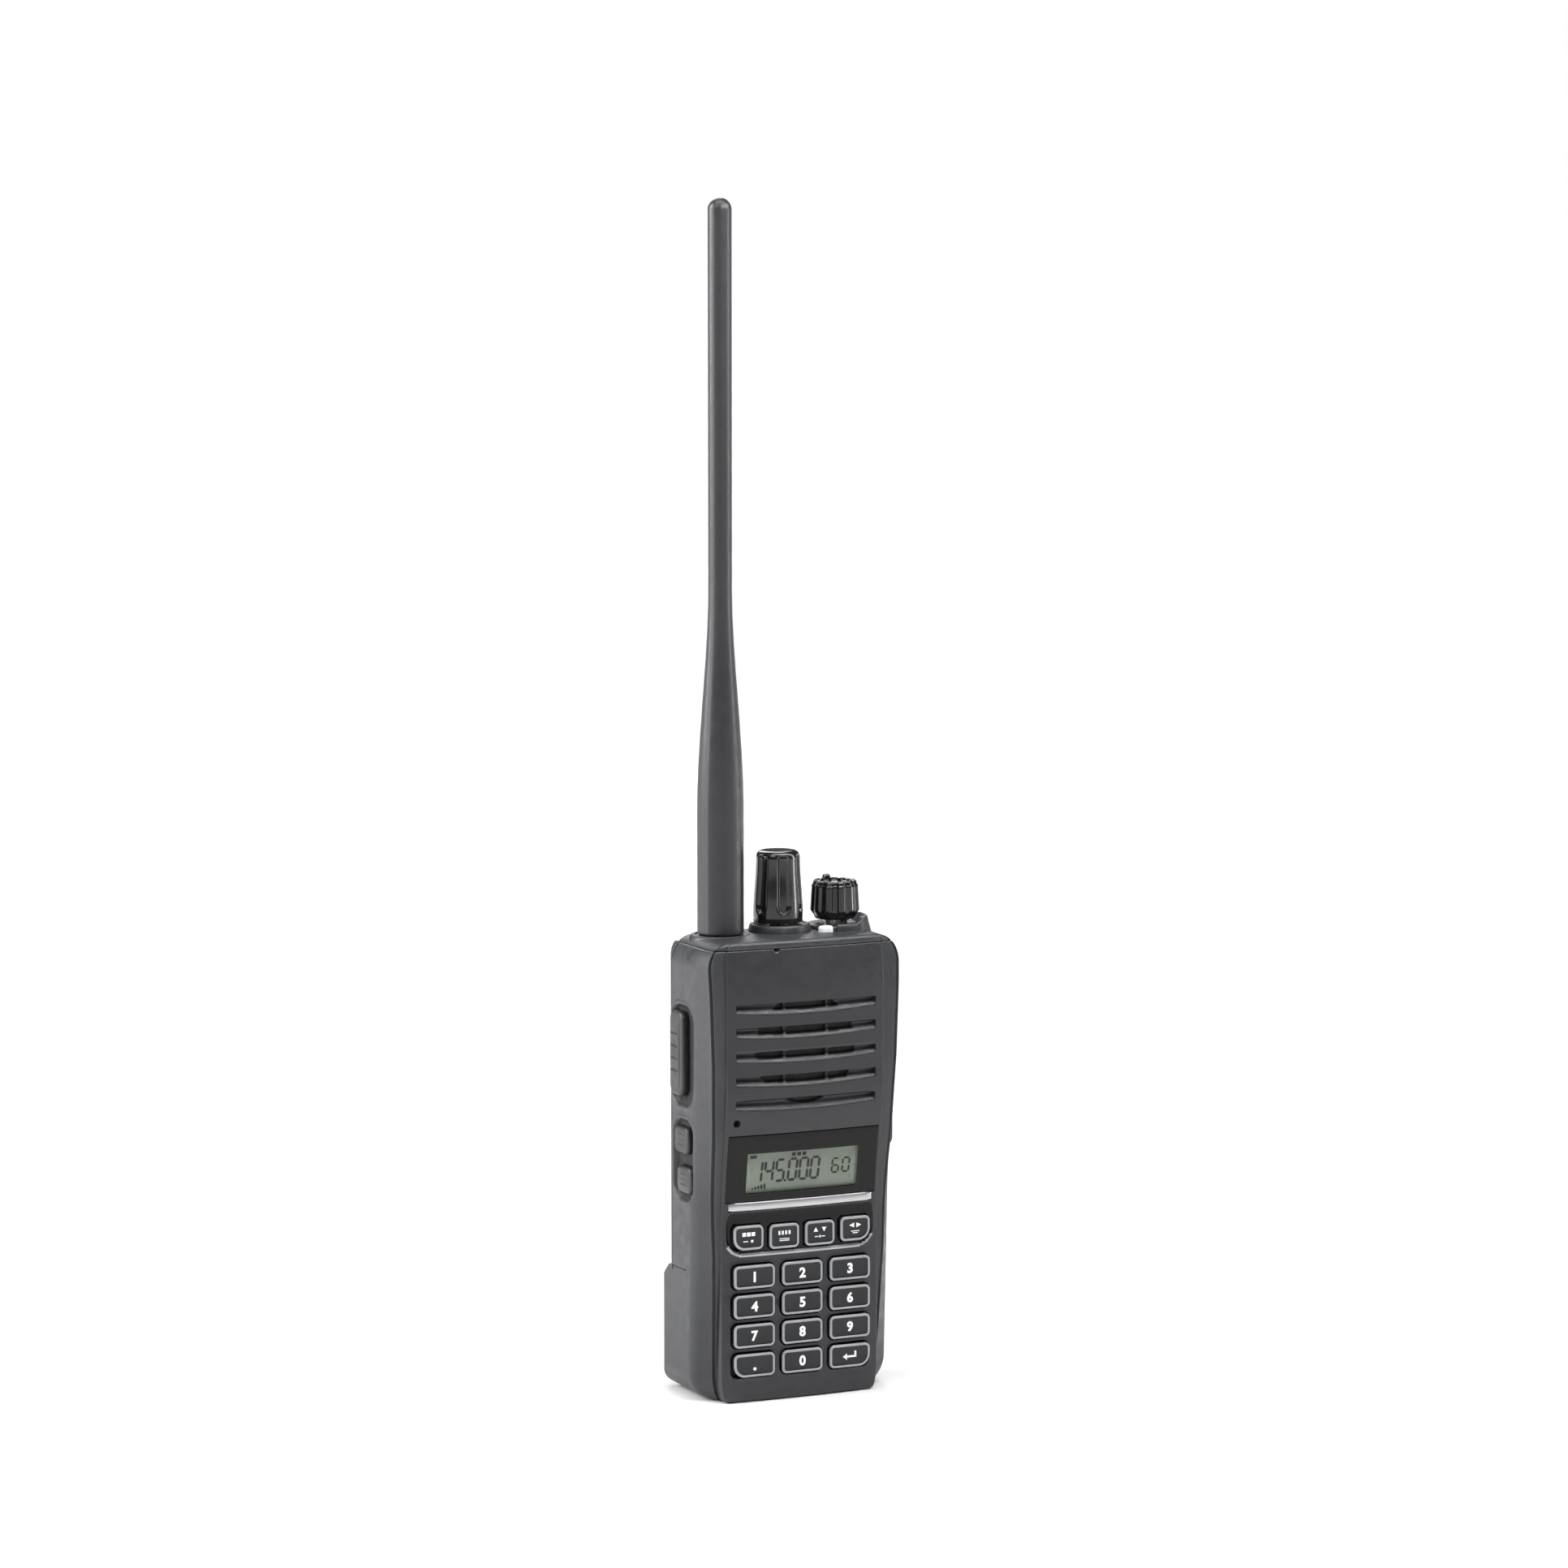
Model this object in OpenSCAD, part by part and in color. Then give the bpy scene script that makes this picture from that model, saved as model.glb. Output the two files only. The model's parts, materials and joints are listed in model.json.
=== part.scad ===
// Handheld two-way radio with a whip antenna.
// X runs across the body, -Y is the front, +Z is up.
// The origin is on the base, below the axis of the tuning dial.

/* [Body] */
// Width of the body
body_w = 52.2; // [51.8:0.1:52.8]
// Height of the body without knobs and antenna
body_h = 112.4; // [112:0.1:112.8]
// Depth of the keypad face in front of the dial axis
keypad_depth = 13.3; // [13.2:0.05:13.4]
// How much further forward the speaker face stands
speaker_rise = 3.6; // [3.5:0.1:4]
// Depth of the slim body behind the dial axis
back_depth = 7.5; // [7.4:0.1:8]
// Radius of the crown across the front face
crown_r = 260; // [240:10:320]
// Corner radius in the front view
corner_r = 7; // [6.5:0.5:7.5]
// Thickness of the plastic walls
wall = 1.6; // [1.5:0.05:1.65]

/* [Battery] */
// Depth of the thick part of the battery behind the dial axis
battery_depth = 13.3; // [13.3:0.1:15]
// Height of the thick part of the battery
battery_step_z = 31.5; // [31.2:0.1:31.7]
// Height of the whole battery
battery_h = 62; // [60:0.5:62]

/* [Antenna] */
// Length of the rubber sheath
antenna_len = 176; // [150:1:200]
// Radius at the base
antenna_base_r = 5.75; // [5.4:0.05:5.9]
// Radius of the thin upper part
antenna_thin_r = 2.85; // [2.4:0.05:3.2]
// Distance of the antenna and the volume knob from the middle
side_axis_x = 15.2; // [15:0.1:15.4]

/* [Knobs] */
// Height of the tuning dial knob
dial_h = 17.4; // [14:0.1:19]
// Radius of the tuning dial at its lower edge
dial_r = 6.05; // [5.8:0.05:6.2]
// Number of flutes on the tuning dial
dial_flutes = 6; // [4:1:8]
// Height of the volume knob
volume_h = 9.6; // [8:0.1:11]
// Radius of the volume knob at its lower edge
volume_r = 6.2; // [5.8:0.05:6.3]
// Number of ribs on the volume knob
volume_ribs = 11; // [8:1:14]

/* [Keys] */
// Width of a number key
key_w = 10.8; // [9:0.1:10.9]
// Height of a number key
key_h = 5.7; // [5:0.1:5.8]
// Distance between number key columns
key_pitch_x = 12.7; // [12.3:0.1:12.7]
// Distance between number key rows
key_pitch_z = 7.2; // [7.1:0.05:7.2]
// Travel of a key
key_travel = 0.5; // [0.3:0.05:0.5]
// Travel of the push-to-talk bar
ptt_travel = 0.9; // [0.5:0.1:0.9]

/* [Speaker] */
// Half length of the speaker slots
slot_half = 18.5; // [16:0.1:18.5]
// Distance between speaker slots
slot_pitch = 5.83; // [5.5:0.01:5.9]
// Height of a slot at its middle
slot_mid_h = 2.9; // [2:0.1:3.2]
// Height of a slot at its ends
slot_end_h = 2; // [1:0.1:2]

/* [Hidden] */

$fn = 48;
half_w = body_w / 2;
cut = 60;
gap = 0.3;
eps = 0.01;

// Parting planes
top_z = 110.4;
rear_y = 4.5;
seal_t = 0.25;
low_rear_y = -3.8;
battery_front_y = -3.5;
battery_top_front_y = 1.5;

// Electronics stack, front to back
flange_y = -10.95;
flange_t = 0.4;
mat_y = flange_y + flange_t + key_travel + 0.05;
mat_t = 0.85;
board_y = mat_y + mat_t + 0.05;
board_t = 1.1;
board_half_w = 19.4;

// Parts along the height
window_z0 = 49.1;
window_z1 = 65.4;
window_half_w = 19.9;
window_t = 0.9;
speaker_z = 86;
speaker_r = 16;
speaker_front_y = -14.3;
slot_top_z = 97.5;
slot_count = 5;
mic_x = -18;
mic_z = 68.8;
function_key_z = 40.2;
function_key_w = 7.9;
function_key_h = 6;
function_key_pitch = 9.45;
key_row_z = 30.9;
key_clear = 0.2;
boss_x = [21.2, 19.4];
boss_z = [99.6, 45.2];
boss_y = -6.85;
clip_x = 9;
clip_z = 92;
clip_r = 1.25;
clip_depth = 5;

// Battery cells
cell_r = 7;
cell_len = 43;
cell_y = 5;
cell_z = [8.8, 23.1];

// Left side controls
side_recess = 1;
ptt_z = 84.25;
ptt_y = 0.2;
ptt_h = 20.5;
ptt_w = 7.6;
ptt_proud = 1.2;
side_key_w = 8.2;
side_key_h = 6.5;
side_key_y = [-1.4, -2.95];
side_key_z = [63.3, 53.8];
side_seal_x = half_w - wall - 0.05 - 0.55 - ptt_travel - 0.1;

// Right side jacks
audio_z = 90;
power_z = 68.8;
jack_y = -0.5;
jack_depth = 14;
jack_notch_y = -4.4;
jack_notch_half_h = 6.6;
audio_r = 1.77;
power_r = 2.1;
cover_h = [19.4, 21.4];
cover_hinge_x = half_w + 0.5;
cover_hinge_y = 4.7;
cover_proud = 3.1;

// Top of the radio
collar_z = 114.2;
guard_low_z = 114;
guard_high_z = 115.5;
knob_z = 114.6;
shaft_r = 3;
shaft_clear = 0.08;
antenna_z = 112.6;
plug_r = 4.15;
thread_r = 3.17;

function smooth(t) = let (u = min(1, max(0, t))) u * u * (3 - 2 * u);
function face_y(z) = -(keypad_depth + speaker_rise * smooth((z - 44) / 35));
function crown(x) = crown_r - sqrt(crown_r * crown_r - x * x);
function groove_x(z) = 21.2 + 0.034 * z;
function groove_y(z) = -(9.3 + 0.075 * z);
function facet_y(z) = -(6.3 + 0.027 * z);
function arc(cx, cy, r, a0, a1, n) =
  [for (i = [0:n]) let (a = a0 + (a1 - a0) * i / n) [cx + r * cos(a), cy + r * sin(a)]];

// Extrude an (X, Z) outline between two depths
module along_y(y0, y1) {
  translate([0, y1, 0]) rotate([90, 0, 0]) linear_extrude(y1 - y0) children();
}

// Extrude a (Y, Z) outline between two widths
module along_x(x0, x1) {
  translate([x0, 0, 0]) rotate([90, 0, 90]) linear_extrude(x1 - x0) children();
}

// A box given by its two corners
module block(a, b) {
  translate(a) cube(b - a);
}

// A cylinder along Y
module rod_y(x, z, y0, y1, r) {
  translate([x, y1, z]) rotate([90, 0, 0]) cylinder(r = r, h = y1 - y0);
}

// A cylinder along X
module rod_x(y, z, x0, x1, r) {
  translate([x0, y, z]) rotate([0, 90, 0]) cylinder(r = r, h = x1 - x0);
}

// A cylinder along Z
module rod_z(x, z0, z1, r) {
  translate([x, 0, z0]) cylinder(r = r, h = z1 - z0);
}

// A rectangle with round corners, centred
module rounded_rect(w, h, r) {
  square([w - 2 * r, h], center = true);
  square([w, h - 2 * r], center = true);
  for (x = [-1, 1], y = [-1, 1])
    translate([x * (w / 2 - r), y * (h / 2 - r)]) circle(r);
}

// Front view of the body, inset by t
module front_outline(t) {
  translate([0, body_h / 2]) rounded_rect(body_w - 2 * t, body_h - 2 * t, corner_r - t);
}

// Side view of the body, inset by t at the front, rear and ends
module side_outline(t) {
  front = [for (z = [0:6:body_h]) [face_y(z) + t, z]];
  polygon(concat(
    [[face_y(0) + t + 2, -1 + t]],
    [for (p = front) if (p[1] > 2 + t && p[1] < body_h - 2 - t) p],
    [[face_y(body_h) + t + 1.2, body_h + 1 - t]],
    arc(back_depth - 3, body_h - 3, 3 - t, 90, 0, 6),
    [[back_depth - t, -1 + t]]
  ));
}

// Plan view of the body, inset by t
module plan_outline(t) {
  face = -(keypad_depth + speaker_rise) + t;
  crown_x = half_w - t;
  polygon(concat(
    [for (i = [-8:8]) let (x = crown_x * i / 8) [x, face + crown(x)]],
    arc(half_w - 3, back_depth - 3, 3 - t, 0, 90, 6),
    arc(3 - half_w, back_depth - 3, 3 - t, 90, 180, 6)
  ));
}

// Space in front of the slanted side facet on the right
module facet_cutter() {
  rows = [-1, 20, 45, 70, 95, 120];
  n = len(rows);
  ring = [for (z = rows) each [
    [half_w + 9, -30, z], [half_w + 9, facet_y(z), z], [half_w + 0.1, facet_y(z), z],
    [groove_x(z), groove_y(z), z], [groove_x(z), -30, z]
  ]];
  sides = [for (i = [0:n - 2], k = [0:4]) let (a = 5 * i + k, b = 5 * i + (k + 1) % 5)
    each [[a, a + 5, b + 5], [a, b + 5, b]]];
  polyhedron(ring, concat([[0, 1, 2, 3, 4]], sides, [[for (k = [4:-1:0]) 5 * (n - 1) + k]]));
}

// Stepped space that keeps the hollow inside the slanted facet
module facet_backing(t) {
  steps = [-5, 35, 62, 2 * cut];
  for (i = [0:2]) {
    z = max(0, steps[i]);
    translate([0, 0, steps[i]]) linear_extrude(steps[i + 1] - steps[i]) polygon([
      [groove_x(z) - t, -30], [groove_x(z) - t, groove_y(z) + t],
      [half_w - t + 0.1, facet_y(z) + t], [half_w + 9, -30]
    ]);
  }
}

// The three outlines of the body crossed, inset by t
module body_block(t) {
  intersection() {
    along_y(-30, 30) front_outline(t);
    along_x(-cut, cut) side_outline(t);
    linear_extrude(2 * cut) plan_outline(t);
  }
}

// Outer form of the slim body
module body_form() {
  difference() {
    body_block(0);
    facet_cutter();
    mirror([1, 0, 0]) facet_cutter();
  }
}

// Hollow of the slim body
module body_hollow(t) {
  difference() {
    body_block(t);
    facet_backing(t);
    mirror([1, 0, 0]) facet_backing(t);
  }
}

// One speaker slot, straight above and sagging below
module slot_outline(z) {
  sag = slot_mid_h - slot_end_h;
  polygon(concat(
    [[-slot_half, z], [slot_half, z]],
    [for (i = [6:-1:-6]) let (u = i / 6) [slot_half * u, z - slot_end_h - sag * (1 - u * u)]]
  ));
}

// Outline of a side key or of the push-to-talk bar, in (Y, Z)
module side_outline_at(y, z, w, h, r) {
  translate([y, z]) rounded_rect(w, h, r);
}

// Outline of a side key, grown by c
module side_key_outline(i, c) {
  side_outline_at(side_key_y[i], side_key_z[i], side_key_w + 2 * c, side_key_h + 2 * c, 2 + c);
}

module front_case() {
  color("#3a3b3f") difference() {
    union() {
      difference() {
        body_form();
        body_hollow(wall);
      }
      intersection() {
        for (i = [0, 1], s = [-1, 1]) rod_y(s * boss_x[i], boss_z[i], -18, boss_y, 2);
        body_hollow(wall / 2);
      }
    }
    case_parting();
    for (i = [0, 1], s = [-1, 1]) rod_y(s * boss_x[i], boss_z[i], boss_y - 5, boss_y + 1, 1.02);
    for (i = [0:slot_count - 1]) along_y(-20, -13) slot_outline(slot_top_z - i * slot_pitch);
    rod_y(mic_x, mic_z, -20, -11, 0.9);
    window_frame() block([-window_half_w - 0.05, -window_t, -0.05], [window_half_w + 0.05, 2, 16.45]);
    window_frame() block([-17, -4, 1], [17, 1, 13.5]);
    block([-19.05, -20, 46.9], [19.05, face_y(48) + 1.1, 49]);
    for (i = [0:3]) along_y(-20, -10) function_key_outline(i, key_clear);
    for (c = [0:2], r = [0:3]) along_y(-20, -10) number_key_outline(c, r, key_clear);
    along_x(-cut, side_recess - half_w) ptt_recess_outline();
    along_x(-cut, -15) side_outline_at(ptt_y, ptt_z, ptt_w + 0.3, ptt_h + 0.3, 2.65);
    for (i = [0, 1]) {
      along_x(-cut, -15) side_key_outline(i, 0.15);
      along_x(wall - half_w, -15) side_key_outline(i, 0.75);
    }
    for (z = [audio_z, power_z])
      block([15, jack_notch_y, z - jack_notch_half_h], [cut, cut, z + jack_notch_half_h]);
    block([-6.1, -10, -1], [6.1, 0, wall + 0.2]);
  }
}

// Everything behind and above the front case
module case_parting() {
  along_x(-cut, cut) polygon([
    [-40, top_z], [rear_y, top_z], [rear_y, battery_step_z + gap], [low_rear_y, battery_step_z + gap],
    [low_rear_y, -5], [40, -5], [40, 150], [-40, 150]
  ]);
}

// Shallow pocket round the push-to-talk bar and the side keys
module ptt_recess_outline() {
  translate([-1.75, 83.9]) rounded_rect(13.5, 24.8, 5);
  translate([-2.4, 58.6]) rounded_rect(11.6, 20.2, 4.5);
}

// Frame of the tilted display window: z runs up its face, y goes out of it
module window_frame() {
  lower = [0, face_y(window_z0) + 0.05, window_z0];
  tilt = atan2(face_y(window_z0) - face_y(window_z1), window_z1 - window_z0);
  translate(lower) rotate([tilt, 0, 0]) mirror([0, 1, 0]) children();
}

module function_key_outline(i, c) {
  translate([(i - 1.5) * function_key_pitch, function_key_z + (i % 3 == 0 ? 0.3 : 0)])
    rounded_rect(function_key_w + 2 * c, function_key_h + 2 * c, 1.2 + c);
}

module number_key_outline(column, row, c) {
  translate([(column - 1) * key_pitch_x, key_row_z - row * key_pitch_z])
    rounded_rect(key_w + 2 * c, key_h + 2 * c, 1.4 + c);
}

// A key: cap through the face, flange behind the wall
module key_body(proud) {
  along_y(-keypad_depth - proud, flange_y + eps) children(0);
  along_y(flange_y, flange_y + flange_t) children(1);
}

module function_key(i) {
  color("#26272a") key_body(0.7) {
    function_key_outline(i, 0);
    function_key_outline(i, 0.45);
  }
}

module number_key(column, row) {
  color("#26272a") key_body(0.9) {
    number_key_outline(column, row, 0);
    number_key_outline(column, row, 0.45);
  }
}

// A button in the left wall: cap outside, flange inside
module side_button(y, z, w, h, r, proud) {
  color("#1f2023") {
    along_x(-half_w - proud, -half_w + wall + 0.06) side_outline_at(y, z, w, h, r);
    along_x(-half_w + wall + 0.05, -half_w + wall + 0.6) side_outline_at(y, z, w + 0.9, h + 0.9, r + 0.3);
  }
}

module ptt_button() {
  side_button(ptt_y, ptt_z, ptt_w, ptt_h, 2.5, ptt_proud);
}

module side_key_upper() {
  side_button(side_key_y[0], side_key_z[0], side_key_w, side_key_h, 2, 0.5);
}

module side_key_lower() {
  side_button(side_key_y[1], side_key_z[1], side_key_w, side_key_h, 2, 0.5);
}

module side_key_seal() {
  color("#202020") block([-side_seal_x, -7.6, 48.6], [0.6 - side_seal_x, 4.2, 96.4]);
}

// Folded plate behind the boards, as seen from the side
module folded_plate(shelf_z, cover_z) {
  web = 1.2;
  along_x(-cut, cut) polygon([
    [low_rear_y - web, 1.8], [low_rear_y, 1.8], [low_rear_y, shelf_z], [web, shelf_z],
    [web, cover_z], [rear_y, cover_z], [rear_y, cover_z + web], [0, cover_z + web],
    [0, shelf_z + web], [low_rear_y - web, shelf_z + web]
  ]);
}

// Cast frame that carries the boards, with the visible upper rear cover
module rear_chassis() {
  shelf_z = battery_step_z + gap;
  cover_z = battery_h + gap;
  color("#2f3034") difference() {
    union() {
      intersection() {
        folded_plate(shelf_z, cover_z);
        along_y(-20, 20) front_outline(wall + 0.2);
        union() {
          block([-21.8, -20, 0], [21.8, 20, body_h]);
          block([-24.1, -20, 0], [24.1, 20, shelf_z + 1.2]);
        }
      }
      difference() {
        intersection() {
          body_block(0);
          block([-cut, rear_y + seal_t, cover_z], [cut, cut, top_z]);
        }
        block([-19.9, -1, cover_z + 1.2], [19.9, back_depth - 1.6, top_z - 1.6]);
      }
      for (s = [-1, 1]) {
        block([s * 20.8 - 0.8, 0.2, cover_z + 0.4], [s * 20.8 + 0.8, rear_y + 1, 100]);
        rod_y(s * boss_x[0], boss_z[0], boss_y + 0.05, rear_y + 1, 2.9);
        rod_y(s * boss_x[1], boss_z[1], boss_y + 0.05, 0.6, 2.6);
        rod_y(s * clip_x, clip_z, 1, back_depth - 1, 2.4);
      }
    }
    for (s = [-1, 1]) {
      rod_y(s * boss_x[0], boss_z[0], -10, 20, 1.05);
      rod_y(s * boss_x[0], boss_z[0], boss_y + 1, 20, 2.1);
      rod_y(s * boss_x[1], boss_z[1], -10, 20, 1.05);
      rod_y(s * boss_x[1], boss_z[1], boss_y + 1, 20, 1.9);
      rod_y(s * clip_x, clip_z, back_depth - clip_depth, 20, clip_r);
    }
    for (z = [audio_z, power_z]) block([9.5, -4.5, z - 3.6], [25, 2.8, z + 3.6]);
  }
}

module main_seal() {
  color("#1a1a1a") along_y(rear_y, rear_y + seal_t) intersection() {
    difference() {
      front_outline(0.5);
      front_outline(1.2);
    }
    translate([-cut, battery_h + gap]) square([2 * cut, top_z - battery_h - gap - 0.3]);
  }
}

module case_screws() {
  color("silver") for (i = [0, 1], s = [-1, 1]) {
    rod_y(s * boss_x[i], boss_z[i], boss_y - 4, boss_y + 1.05, 0.98);
    difference() {
      rod_y(s * boss_x[i], boss_z[i], boss_y + 1, boss_y + 2.2, 1.75);
      along_y(boss_y + 1.6, boss_y + 3) translate([s * boss_x[i], boss_z[i]]) circle(0.9, $fn = 6);
    }
  }
}

module top_panel() {
  color("#333438") difference() {
    union() {
      intersection() {
        body_form();
        block([-cut, -cut, top_z], [cut, cut, 2 * cut]);
      }
      rod_z(-side_axis_x, top_z, antenna_z - 0.1, 7.1);
      rod_z(0, top_z, collar_z, 7);
      rod_z(side_axis_x, top_z, 113.4, 6.9);
      knob_guard();
    }
    rod_z(-side_axis_x, 100, 130, thread_r + 0.02);
    for (x = [0, side_axis_x]) rod_z(x, 100, 130, shaft_r + shaft_clear);
    translate([9, -8, 100]) linear_extrude(20) rounded_rect(3.9, 2.6, 1.28);
  }
}

// Wall round the front and right of the volume knob, low in front and higher at the corner
module knob_guard() {
  difference() {
    intersection() {
      linear_extrude(2 * cut) polygon([
        [11.8, -9], [19.8, -9], [22.7, -5.5], [23.9, -0.5], [23.9, 5.2], [21, 5.2], [15, -4]
      ]);
      along_y(-20, 20) polygon([
        [11, top_z], [11, guard_low_z], [17.2, guard_low_z], [19.6, guard_high_z],
        [21.6, guard_high_z], [24.3, top_z]
      ]);
    }
    rod_z(side_axis_x, 100, 130, volume_r + 0.9);
  }
}

module indicator_lens() {
  color("white") {
    translate([9, -8, top_z + 0.2]) linear_extrude(3.2) rounded_rect(3.8, 2.5, 1.24);
  }
}

module display_window() {
  color("#0c0c0e") window_frame()
    block([-window_half_w, -window_t, 0], [window_half_w, 0, 16.4]);
}

module silver_trim() {
  color("silver") block([-19, face_y(48) - 0.2, 46.95], [19, face_y(48) + 1.05, 48.95]);
}

module lcd_panel() {
  color("#969e90") window_frame() block([-16.6, -window_t - 1.35, 1.2], [16.6, -window_t - 0.05, 13.3]);
}

module lcd_backlight() {
  color("#e6e6dc") window_frame() block([-16.2, -window_t - 2.3, 1.4], [16.2, -window_t - 1.4, 13.1]);
}

module keypad_mat() {
  color("#55575c") block([-18.9, mat_y, 5.4], [18.9, mat_y + mat_t, 43]);
}

module logic_board() {
  color("#2f5f3a") difference() {
    block([-board_half_w, board_y, 4.6], [board_half_w, board_y + board_t, 103]);
    for (i = [0, 1], s = [-1, 1]) rod_y(s * boss_x[i], boss_z[i], -12, 0, 3.1);
  }
}

module rf_board() {
  color("#2f5f3a") block([-19, -2.4, 48.4], [9.3, -1.4, 96]);
}

module shield_can() {
  color("silver") difference() {
    block([-16, -6.4, 50], [8, -2.4, 92]);
    block([-15.6, -6, 50.4], [7.6, -1, 91.6]);
  }
}

module speaker_net() {
  color("#101010") rod_y(0, speaker_z, speaker_front_y - 0.35, speaker_front_y, 13.6);
}

module speaker_frame() {
  color("#45464a") difference() {
    rod_y(0, speaker_z, speaker_front_y, speaker_front_y + 3.4, speaker_r);
    rod_y(0, speaker_z, speaker_front_y - 1, speaker_front_y + 2.6, 14.6);
    rod_y(0, speaker_z, speaker_front_y + 2, speaker_front_y + 5, 6.5);
  }
}

// Paper cone with its flat rim
module speaker_cone() {
  color("#1c1c1c") translate([0, speaker_front_y, speaker_z]) rotate([-90, 0, 0]) rotate_extrude()
    polygon([[0, 1.5], [5, 1.5], [12, 0.4], [14.5, 0.4], [14.5, 0.8], [12.2, 0.8], [5.2, 1.9], [0, 1.9]]);
}

module speaker_magnet() {
  color("#8a8a8c") rod_y(0, speaker_z, speaker_front_y + 2.1, board_y - 0.1, 6.4);
}

module microphone() {
  color("silver") rod_y(mic_x, mic_z, -13, -11.2, 2.5);
}

module mic_boot() {
  color("#1a1a1a") difference() {
    rod_y(mic_x, mic_z, -13.6, -11.2, 3.4);
    rod_y(mic_x, mic_z, -13, -11, 2.5);
    rod_y(mic_x, mic_z, -14, -12, 0.9);
  }
}

// Tall knob with long flutes and a rounded top
module dial_knob() {
  h = dial_h;
  top_r = dial_r * 0.87;
  color("#101113") translate([0, 0, knob_z]) difference() {
    rotate_extrude() polygon(concat(
      [[0, 0], [dial_r, 0], [dial_r, 1.3], [dial_r - 0.25, 1.5]],
      arc(top_r - 1.4, h - 1.4, 1.4, 0, 90, 6),
      [[0, h]]
    ));
    for (i = [0:dial_flutes - 1]) rotate(i * 360 / dial_flutes - 40)
      translate([dial_r + 0.85, 0, 2.6]) cylinder(r = 2, h = h);
    translate([0, 0, -1]) cylinder(r = shaft_r + 0.02, h = h - 3);
  }
}

// Shaft of a knob, with a wider foot inside its control
module knob_shaft(x, top) {
  rod_z(x, top_z - 4, top, shaft_r);
}

module dial_shaft() {
  color("silver") knob_shaft(0, knob_z + dial_h - 4.2);
}

module volume_shaft() {
  color("silver") knob_shaft(side_axis_x, knob_z + volume_h - 3.2);
}

// Rotary control: a box under the top panel with a bore for the shaft
module control_box(x) {
  difference() {
    block([x - 5.4, -5.6, 102.7], [x + 5.4, rear_y - 0.1, top_z - 0.05]);
    rod_z(x, top_z - 4.1, top_z + 1, shaft_r + shaft_clear);
  }
}

module dial_encoder() {
  color("#8c8f94") control_box(0);
}

module volume_control() {
  color("#8c8f94") control_box(side_axis_x);
}

// Short knob with square ribs, a dished top and a pointer
module volume_knob() {
  h = volume_h;
  step = 360 / volume_ribs;
  color("#101113") translate([side_axis_x, 0, knob_z]) difference() {
    union() {
      rotate_extrude() polygon([
        [0, 0], [volume_r - 1.2, 0], [volume_r - 0.6, 1.8], [volume_r - 1.1, h - 0.9],
        [volume_r - 2, h - 0.3], [volume_r - 2.6, h - 1], [0, h - 1.4]
      ]);
      for (i = [0:volume_ribs - 1]) rotate(i * step)
        translate([volume_r - 1.6, -0.75, 1.2]) cube([1.5, 1.5, h - 1.2]);
      translate([-0.9, volume_r - 2.4, h - 1]) cube([1.8, 2, 1.6]);
    }
    translate([0, 0, -1]) cylinder(r = shaft_r + 0.02, h = h - 2);
  }
}

function sheath_r(h) = antenna_base_r - (antenna_base_r - antenna_thin_r) * smooth((h - 28) / 56);

// Flexible rubber sheath: straight base, flare, thin whip, round tip
module antenna_sheath() {
  color("#4b4c50") translate([-side_axis_x, 0, antenna_z]) rotate_extrude() polygon(concat(
    [[plug_r + 0.05, 0], [antenna_base_r - 0.3, 0], [antenna_base_r, 0.4]],
    [for (h = [28:4:84]) [sheath_r(h), h]],
    arc(0, antenna_len - antenna_thin_r, antenna_thin_r, 0, 90, 8),
    [[0, antenna_len - 8], [0.9, antenna_len - 8], [0.9, 9.1], [plug_r + 0.05, 9.1]]
  ));
}

module antenna_core() {
  color("silver") rod_z(-side_axis_x, antenna_z + 9.1, antenna_z + antenna_len - 9, 0.88);
}

module antenna_plug() {
  color("gold") difference() {
    rod_z(-side_axis_x, antenna_z + 0.5, antenna_z + 9, plug_r);
    rod_z(-side_axis_x, antenna_z, antenna_z + 8, thread_r + 0.05);
  }
}

module antenna_socket() {
  color("gold") {
    rod_z(-side_axis_x, 104, antenna_z + 7, thread_r);
    block([-side_axis_x - 3.6, -4, 103], [-side_axis_x + 3.6, 4, top_z - 0.05]);
  }
}

// Rubber cover of a jack, hinged on its rear edge
module jack_cover(z, h) {
  lip = 1.2;
  lip_x = half_w + cover_proud - lip;
  color("#2b2c2f") {
    along_x(half_w + 0.05, lip_x) translate([-1, z]) rounded_rect(8, h, 2.4);
    along_x(lip_x, half_w + cover_proud) translate([-1, z]) rounded_rect(6.4, h - 1.6, 2);
    block([half_w + 0.15, 1, z - h / 2 + 2.4], [half_w + 0.85, cover_hinge_y, z + h / 2 - 2.4]);
    translate([0, cover_hinge_y, 0]) rod_z(cover_hinge_x, z - h / 2 + 2.4, z + h / 2 - 2.4, 0.45);
  }
}

module audio_cover() {
  jack_cover(audio_z, cover_h[0]);
}

module power_cover() {
  jack_cover(power_z, cover_h[1]);
}

// Jack: a block with a bore for its plug
module jack(z, r) {
  color("#202124") difference() {
    block([half_w - wall - jack_depth, jack_y - 3, z - 3.4], [half_w - wall, jack_y + 3, z + 3.4]);
    rod_x(jack_y, z, half_w - wall - jack_depth + 1.4, half_w + 1, r);
  }
}

module audio_jack() {
  jack(audio_z, audio_r);
}

module power_jack() {
  jack(power_z, power_r);
}

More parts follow.
